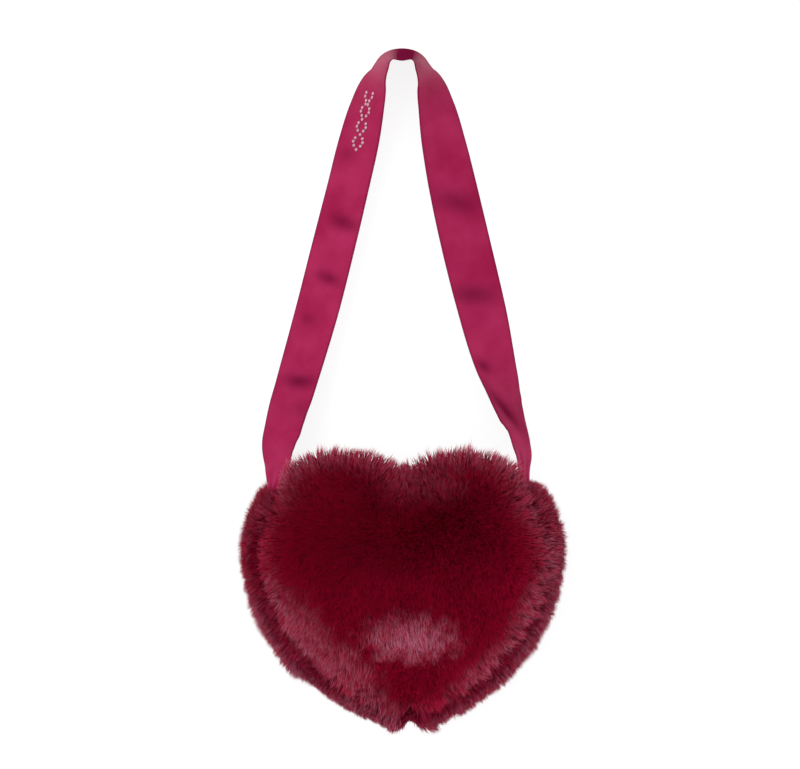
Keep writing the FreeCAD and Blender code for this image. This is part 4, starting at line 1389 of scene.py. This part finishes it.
@dataclass
class Zip:
    """The zip: woven tapes, folded end tabs and stitches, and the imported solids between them."""

    cloth: float = 0.5 * MM
    tab_cloth: float = 0.7 * MM
    ripple: float = 0.45 * MM
    stitch_pitch: float = 2.6 * MM
    stitch: tuple[float, float, float] = (0.85 * MM, 0.2 * MM, 0.2 * MM)
    stitch_share: float = 0.78
    solids: tuple[tuple[Moulded, tuple[str, ...]], ...] = (
        (TEETH, ("zip_teeth_front", "zip_teeth_back")),
        (NICKEL, ("zip_top_stops", "zip_bottom_stop", "zip_slider", "zip_pull")),
    )

    def tape_points(self, node: str, along: np.ndarray, share: float) -> np.ndarray:
        """Points of one tape on a line along it.

        Args:
            node: Tape that it stands for.
            along: Places along the zip.
            share: 0 at the teeth and 1 at the lining.

        Returns:
            The points, which stray a little towards the lining.
        """
        low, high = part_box(node)
        start, end = (low[2], high[2]) if node.endswith("front") else (high[2], low[2])
        free = smooth_step(high[0], high[0] - 30 * MM, np.abs(along))
        stray = self.ripple * share**2 * free * wander(along[:, None], 26 * MM, 61)
        height = np.full(len(along), start + share * (end - start))
        return np.column_stack([along, (low[1] + high[1]) / 2 + stray, height])

    def tape_net(self, node: str) -> np.ndarray:
        """The net of one tape, from the teeth to the lining.

        Args:
            node: Tape that it stands for.

        Returns:
            Its net of points.
        """
        low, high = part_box(node)
        along = np.linspace(low[0], high[0], 140)
        return np.array([self.tape_points(node, along, share) for share in np.linspace(0, 1, 8)])

    def tab_net(self, node: str) -> np.ndarray:
        """The net of one end tab: a piece of lining folded over the ends of both tapes.

        Args:
            node: Tab that it stands for.

        Returns:
            Its net of points.
        """
        low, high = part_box(node)
        side = math.copysign(1, low[0])
        inner, outer = sorted((abs(low[0]), abs(high[0])))
        half = (high[1] - low[1] - self.tab_cloth) / 2
        turns = np.linspace(0, math.pi, 9)
        bend = outer - self.tab_cloth / 2 - half
        straight = np.linspace(inner, bend, 8)[:-1]
        out = np.concatenate([straight, bend + half * np.sin(turns), straight[::-1]])
        flat = np.full(len(straight), half)
        lift = np.concatenate([flat, half * np.cos(turns), -flat])
        middle = (low[1] + high[1]) / 2
        heights = np.linspace(low[2], high[2], 12)
        return np.array(
            [np.column_stack([side * out, middle + lift, np.full(len(out), z)]) for z in heights]
        )

    def stitches(self, node: str) -> bpy.types.Mesh:
        """The row of stitches that holds a tape to the lining.

        Args:
            node: The tape.

        Returns:
            All its stitches in one mesh.
        """
        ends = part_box("zip_end_tab_right")[0][0]
        along = np.arange(-ends + 1 * MM, ends - 1 * MM, self.stitch_pitch)
        form = bmesh.new()
        for spot in self.tape_points(node, along, self.stitch_share):
            place = Matrix.Translation((spot[0], spot[1] + self.cloth / 2, spot[2]))
            place = place @ Matrix.Diagonal((*self.stitch, 1))
            bmesh.ops.create_uvsphere(form, u_segments=8, v_segments=6, radius=1, matrix=place)
        return mesh_from(form, f"{node}_stitches")

    def build(self) -> None:
        """Dresses the rigid solids and builds the cloth round them."""
        for finish, names in self.solids:
            material = finish.material()
            for name in names:
                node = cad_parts[name]
                node.data.materials.clear()
                node.data.materials.append(material)
                LOG.info("%s: %s", name, finish.name)
        tape, lining, thread = TAPE.material(), LINING.material(), THREAD.material()
        for node in ("zip_tape_front", "zip_tape_back"):
            net = self.tape_net(node)
            sheet = add_cloth(f"{node}_cloth", net, tape)
            sew_in(sheet, node, self.cloth)
            seam = add_piece(f"{node}_stitches", self.stitches(node), thread)
            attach(seam, Body.BAG.value)
        for node in ("zip_end_tab_left", "zip_end_tab_right"):
            net = self.tab_net(node)
            sheet = add_cloth(f"{node}_cloth", net, lining)
            sew_in(sheet, node, self.tab_cloth)


@dataclass(frozen=True)
class Dent:
    """A soft dent in the ribbon, in millimetres: its middle, two half sizes, turn and depth; the
    depth also sets its painted shade.
    """

    x: float
    y: float
    long: float
    short: float
    turn: float
    depth: float
    crisp: float = 2

    def weight(self, places: np.ndarray) -> np.ndarray:
        """How much of the dent each point gets.

        Args:
            places: Points, of which the first two columns count.

        Returns:
            Shares from 0 to 1.
        """
        dx = places[:, 0] / MM - self.x
        dy = places[:, 1] / MM - self.y
        along, aside = along_and_aside(dx, dy, self.turn)
        reach = np.abs(along / self.long) ** self.crisp + np.abs(aside / self.short) ** self.crisp
        return np.exp(-reach)


@dataclass(frozen=True)
class Station:
    """A place along both legs of the ribbon.

    The reach is a share of the way from the roots to the arch, and the height is in millimetres.
    Each leg has its distance from the middle as a share of its root's, its width in millimetres
    and its tilt in degrees.
    """

    reach: float
    height: float
    left: tuple[float, float, float]
    right: tuple[float, float, float]


@dataclass
class RibbonStrap:
    """The ribbon: a loop that stands on its outer edge at the top and twists flat on its legs."""

    root: tuple[float, float, float] = (91.34 * MM, 80.50 * MM, 29 * MM)
    reach: float = 319.5 * MM
    width: float = 38 * MM
    thickness: float = 0.7 * MM
    length: float = 0.74
    clearance: float = 0.6 * MM
    arch_tilt: float = 63
    # How much darker both edges are drawn, in the painted shade attribute.
    edge_darkening: float = 0.4
    gathers: float = 2.5
    gather_depth: float = 1.2 * MM
    ripple: float = 0.3 * MM
    dent_depth: float = 0.7 * MM
    # How much painted shade a dent takes for each unit of its depth.
    dent_shade: float = 0.56
    steps: int = 420
    columns: int = 20
    stations: tuple[Station, ...] = (
        Station(-0.041, 51, (1.034, 2.5, 50), (0.990, 2.5, 60)),
        Station(-0.023, 48, (1.036, 7.5, 45), (0.985, 6.0, 58)),
        Station(0.000, 43, (1.015, 14.2, 38), (0.980, 11.0, 55)),
        Station(0.018, 37, (1.012, 17.5, 34), (0.982, 12.5, 54)),
        Station(0.038, 30, (1.009, 21.7, 34), (0.987, 14.5, 54)),
        Station(0.061, 23, (1.012, 26.0, 32), (0.988, 18.4, 50)),
        Station(0.089, 16, (1.007, 31.0, 32), (0.977, 21.2, 50)),
        Station(0.116, 12, (0.988, 34.1, 33), (0.956, 24.4, 50)),
        Station(0.142, 0, (0.968, 36.0, 34), (0.925, 30.0, 51)),
        Station(0.168, 0, (0.943, 37.4, 35), (0.890, 35.6, 50)),
        Station(0.196, 0, (0.910, 38.0, 34), (0.854, 38.0, 48)),
        Station(0.255, 0, (0.849, 38.0, 32), (0.790, 38.0, 36)),
        Station(0.400, 0, (0.705, 38.0, 28), (0.668, 38.0, 14)),
        Station(0.545, 0, (0.576, 38.0, 28), (0.545, 38.0, 6)),
        Station(0.690, 0, (0.450, 38.0, 31), (0.428, 38.0, 14)),
        Station(0.800, 0, (0.358, 38.0, 34), (0.345, 38.0, 27)),
        Station(0.885, 0, (0.285, 38.0, 45), (0.282, 38.0, 42)),
        Station(0.932, 0, (0.236, 38.0, 55), (0.236, 38.0, 53)),
        Station(0.962, 0, (0.188, 38.0, 66), (0.188, 38.0, 65)),
        Station(0.983, 0, (0.154, 38.0, 69), (0.154, 38.0, 69)),
        Station(0.993, 0, (0.118, 38.0, 67), (0.118, 38.0, 67)),
    )
    # Creases as soft dents, each with painted shade.
    dents_and_shade: tuple[Dent, ...] = (
        Dent(-44, 274, 13, 6, -25, 1.1),
        Dent(-56, 232, 11, 5, -25, 1.1),
        Dent(-71, 201, 7, 5, -40, 0.6),
        Dent(-78, 154, 13, 6, -5, 1.3),
        Dent(-76, 133, 8, 7, 0, 0.6),
        Dent(-42, 327, 8, 5, -20, 0.5),
        Dent(42, 291, 20, 9, -15, 0.9),
        Dent(54, 220, 20, 8, -3, 1.1),
        Dent(62, 165, 7, 4, -40, 1.1),
        Dent(78, 132, 22, 3.5, -50, 1.3),
        # The arch: painted shade, with a slight dip.
        Dent(2.5, 400, 11, 20, -4, 1.4, crisp=4),
    )
    twist_start: float = 0.385
    twist_length: float = 24 * MM
    twist_turns: int = 2
    twist_width: float = 9 * MM
    stone_pitch: float = 2.9 * MM
    stone_radius: float = 1.1 * MM
    line: np.ndarray = field(init=False)
    shares: np.ndarray = field(init=False)

    def __post_init__(self) -> None:
        """Lays the stations from the left root over the arch to the right root."""
        legs = {-1: [], 1: []}
        for place in self.stations:
            for side, (span, width, tilt) in ((-1, place.left), (1, place.right)):
                x = side * span * self.root[0]
                row = self.station(x, place.reach, width * MM, place.height * MM, tilt)
                legs[side].append(row)
        arch = self.station(0, 1, self.width, 0, self.arch_tilt)
        self.line = np.array(legs[-1] + [arch] + legs[1][::-1])
        gaps = np.linalg.norm(np.diff(self.line[:, :3], axis=0), axis=1)
        self.shares = np.concatenate([[0], np.cumsum(gaps)]) / gaps.sum()

    def station(
        self, x: float, reach: float, width: float, height: float, tilt: float
    ) -> list[float]:
        """One row of the route.

        Args:
            x: Place across the heart.
            reach: Share of the way from the root to the arch.
            width: Width of the ribbon there.
            height: Height of its middle; it lies on the surface where that is higher.
            tilt: 0 where the ribbon lies flat, 90 where it stands on its outer edge.

        Returns:
            Place, tilt in radians and width.
        """
        turn = math.radians(tilt)
        foot = width / 2 * math.sin(turn) + self.clearance
        return [x, self.root[1] + reach * self.reach, max(foot, height), turn, width]

    def smooth(self, at: np.ndarray) -> np.ndarray:
        """A smooth curve through the stations.

        Args:
            at: Shares of the strap's length.

        Returns:
            Place, tilt and width at each.
        """
        rows, knots = self.line, self.shares
        slopes = np.gradient(rows, knots, axis=0)
        span = np.clip(np.searchsorted(knots, at, side="right") - 1, 0, len(knots) - 2)
        width = (knots[span + 1] - knots[span])[:, None]
        t = ((at - knots[span])[:, None]) / width
        start, end = rows[span], rows[span + 1]
        lead, trail = slopes[span] * width, slopes[span + 1] * width
        return (
            (2 * t**3 - 3 * t**2 + 1) * start
            + (t**3 - 2 * t**2 + t) * lead
            + (3 * t**2 - 2 * t**3) * end
            + (t**3 - t**2) * trail
        )

    def frames(self, at: np.ndarray) -> tuple[np.ndarray, ...]:
        """Centre, direction across, face normal and width of the ribbon.

        Args:
            at: Shares of the strap's length.

        Returns:
            The four arrays, one row for each share.
        """
        rows = self.smooth(at)
        step = 1e-4
        before, after = (self.smooth(np.clip(at + move, 0, 1))[:, :3] for move in (-step, step))
        ahead = unit(after - before)
        up = np.tile([0.0, 0.0, 1.0], (len(at), 1))
        inward = unit(np.cross(ahead, up))
        turn = rows[:, 3:4]
        across = inward * np.cos(turn) + up * np.sin(turn)
        across = unit(across - ahead * (ahead * across).sum(1, keepdims=True))
        return rows[:, :3], across, np.cross(across, ahead), np.clip(rows[:, 4], 0, self.width)

    def ribbon(self) -> bpy.types.Mesh:
        """The ribbon's cloth, with gathers where it narrows and soft creases along its legs.

        Returns:
            Its mesh, with its own map and with each point's share of painted shade and edge
            darkening.
        """
        form = bmesh.new()
        chart = form.loops.layers.uv.new(OWN_MAP)
        bmesh.ops.create_grid(form, x_segments=self.columns, y_segments=self.steps, size=0.5)
        form.verts.index_update()
        flat = np.array([(v.co.x, v.co.y + 0.5) for v in form.verts])
        centres, across, faces, widths = self.frames(flat[:, 1])
        lost = 1 - widths / self.width
        inner = (1 - lost) * (1 - (2 * flat[:, 0]) ** 4)
        folds = np.cos(flat[:, 0] * 2 * math.pi * self.gathers)
        gather = smooth_step(0.4, 0.9, lost) * folds * self.gather_depth
        cloth = flat * np.array([self.width, self.length])
        crease = self.ripple * wander(cloth * np.array([0.4, 1.0]), 34 * MM, 5)
        # Darker along both edges, then painted shade in the dents and on the arch.
        painted_shade = self.edge_darkening * smooth_step(0.44, 0.5, np.abs(flat[:, 0]))
        spots = centres + across * (flat[:, 0] * widths)[:, None]
        for dent in self.dents_and_shade:
            weight = dent.weight(spots)
            crease -= self.dent_depth * dent.depth * weight
            painted_shade = np.maximum(painted_shade, weight * min(1, self.dent_shade * dent.depth))
        spots = spots + faces * (gather + crease * inner)[:, None]
        spots[:, 2] = np.maximum(spots[:, 2], self.clearance)
        for vert, spot in zip(form.verts, spots):
            vert.co = spot
        for face in form.faces:
            for loop in face.loops:
                loop[chart].uv = cloth[loop.vert.index]
        mesh = mesh_from(form, "ribbon")
        shade_layer = mesh.attributes.new(PAINTED_SHADE, "FLOAT", "POINT")
        shade_layer.data.foreach_set("value", painted_shade.astype(np.float32))
        return mesh

    def stone_places(self) -> tuple[np.ndarray, np.ndarray, np.ndarray]:
        """Where the crystals sit: two strands that cross like a twisted cord.

        Returns:
            Their middles on the ribbon's face, the direction across it and the face's normal.
        """
        count = int(self.twist_length * self.twist_turns / self.stone_pitch)
        along = np.arange(count) * self.stone_pitch
        swing = np.sin(2 * math.pi * along / self.twist_length)
        crossing = np.abs(swing) * self.twist_width >= 2 * self.stone_radius
        steps = np.concatenate([along, along[crossing]])
        asides = np.concatenate([swing, -swing[crossing]]) * self.twist_width / 2
        centres, across, faces, _ = self.frames(self.twist_start + steps / self.length)
        return centres + across * asides[:, None], across, faces

    def stones(
        self, name: str, bottom: float, base: float, top: float, height: float, sides: int
    ) -> bpy.types.Mesh:
        """A crystal, or the cup under it, at every place of the twist.

        Args:
            name: Name of the mesh.
            bottom: Height of its base above the ribbon's middle.
            base: Radius at its base.
            top: Radius at its top.
            height: Its height.
            sides: How many sides it has.

        Returns:
            All of them in one mesh.
        """
        form = bmesh.new()
        for centre, across, face in zip(*self.stone_places()):
            ahead = np.cross(face, across)
            turn = np.stack([across, ahead, face], 1)
            place = Matrix([(*row, spot) for row, spot in zip(turn, centre)] + [(0, 0, 0, 1)])
            place = place @ Matrix.Translation((0, 0, bottom + height / 2))
            bmesh.ops.create_cone(
                form,
                cap_ends=True,
                segments=sides,
                radius1=base,
                radius2=top,
                depth=height,
                matrix=place,
            )
        bmesh.ops.recalc_face_normals(form, faces=form.faces)
        return mesh_from(form, name, smooth=False)

    def build(self) -> None:
        """Builds the ribbon and its crystals, and hangs the crystals on the strap."""
        ribbon = add_piece("ribbon", self.ribbon(), SATIN.material())
        thicken(ribbon, self.thickness)
        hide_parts("strap_ribbon", "strap_end_left", "strap_end_right")
        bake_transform(ribbon)
        low, radius = self.thickness / 2, self.stone_radius
        cups = self.stones("crystal_cups", low, radius * 1.15, radius * 1.05, 0.45 * MM, 16)
        gems = self.stones("crystals", low + 0.3 * MM, radius, radius * 0.55, 0.75 * MM, 8)
        for mesh, finish in ((cups, NICKEL), (gems, CRYSTAL)):
            piece = add_piece(mesh.name, mesh, finish.material())
            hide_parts("strap_crystals")
            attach(piece, Body.STRAP.value)


@dataclass
class Studio:
    """A white table seen from straight above, under soft light from the upper left."""

    height: float = 1.0
    aim: tuple[float, float] = (-1.5 * MM, 151.5 * MM)
    focal_pixels: float = 1305
    image_width: int = 800
    floor_size: float = 30
    floor_light: str = "#e8e8e8"
    floor_seen: str = "#828282"
    floor_glow: float = 0.86
    key_power: float = 5.5
    key_place: tuple[float, float, float] = (-0.7, 0.75, 1.1)
    key_size: float = 0.7
    key_drop: float = 0.1
    fill_power: float = 0.86

    def seen(self, tree: bpy.types.NodeTree) -> bpy.types.NodeSocket:
        """Is 1 for rays that the eye, a mirror or glass sees, and 0 for those that only light.

        Args:
            tree: Tree that takes the nodes.

        Returns:
            The socket that gives it.
        """
        path = add_node(tree, "ShaderNodeLightPath")
        seen = path.outputs["Is Camera Ray"]
        for name in ("Is Glossy Ray", "Is Transmission Ray"):
            either = add_node(
                tree, "ShaderNodeMath", {0: seen, 1: path.outputs[name]}, operation="MAXIMUM"
            )
            seen = either.outputs[0]
        return seen

    def floor(self) -> None:
        """A wide white floor that stays white to the eye and keeps the object's soft shadow."""
        form = bmesh.new()
        bmesh.ops.create_grid(form, x_segments=1, y_segments=1, size=self.floor_size)
        floor = bpy.data.objects.new("floor", mesh_from(form, "floor"))
        bpy.context.scene.collection.objects.link(floor)
        material = bpy.data.materials.new("white_table")
        material.use_nodes = True
        tree = material.node_tree
        tree.nodes.clear()
        seen = self.seen(tree)
        shades = {MIX_FIRST: linear(self.floor_light), MIX_SECOND: linear(self.floor_seen)}
        tint = add_node(tree, "ShaderNodeMix", {"Factor": seen} | shades, data_type="RGBA")
        matt = add_node(tree, "ShaderNodeBsdfDiffuse", {"Color": tint.outputs[MIX_RESULT]})
        share = add_node(
            tree, "ShaderNodeMath", {0: seen, 1: self.floor_glow}, operation="MULTIPLY"
        )
        glow = add_node(tree, "ShaderNodeEmission", {"Strength": share.outputs[0]})
        both = add_node(tree, "ShaderNodeAddShader", {0: matt.outputs[0], 1: glow.outputs[0]})
        add_node(tree, "ShaderNodeOutputMaterial", {"Surface": both.outputs[0]})
        floor.data.materials.append(material)

    def key(self) -> None:
        """A square softbox that faces the object from the upper left."""
        light = bpy.data.lights.new("key", "AREA")
        light.size = self.key_size
        light.energy = self.key_power
        lamp = bpy.data.objects.new("key", light)
        lamp.location = self.key_place
        aim = Vector((self.aim[0], self.aim[1] - self.key_drop, 0)) - Vector(self.key_place)
        lamp.rotation_euler = aim.to_track_quat("-Z", "Y").to_euler()
        bpy.context.scene.collection.objects.link(lamp)

    def build(self) -> None:
        """Sets the floor, the light and the camera."""
        scene = bpy.context.scene
        scene.view_settings.view_transform = "Standard"
        self.floor()
        world = bpy.data.worlds.new("studio")
        world.use_nodes = True
        tree = world.node_tree
        tree.nodes.clear()
        level = add_node(
            tree, "ShaderNodeMath", {0: self.seen(tree), 1: self.fill_power}, operation="MAXIMUM"
        )
        sky = add_node(
            tree, "ShaderNodeBackground", {"Color": (1, 1, 1, 1), "Strength": level.outputs[0]}
        )
        add_node(tree, "ShaderNodeOutputWorld", {"Surface": sky.outputs[0]})
        scene.world = world
        self.key()
        lens = bpy.data.cameras.new("camera")
        lens.sensor_fit = "HORIZONTAL"
        lens.angle = 2 * math.atan(self.image_width / 2 / self.focal_pixels)
        camera = bpy.data.objects.new("camera", lens)
        camera.location = (*self.aim, self.height)
        scene.collection.objects.link(camera)
        scene.camera = camera


def main() -> None:
    """Builds the purse and the studio."""
    logging.basicConfig(level=logging.INFO, format="%(message)s")
    for assembly in (PlushHeart(), Inside(), Zip(), RibbonStrap(), Studio()):
        LOG.info("%s", type(assembly).__name__)
        assembly.build()


if __name__ == "__main__":
    main()
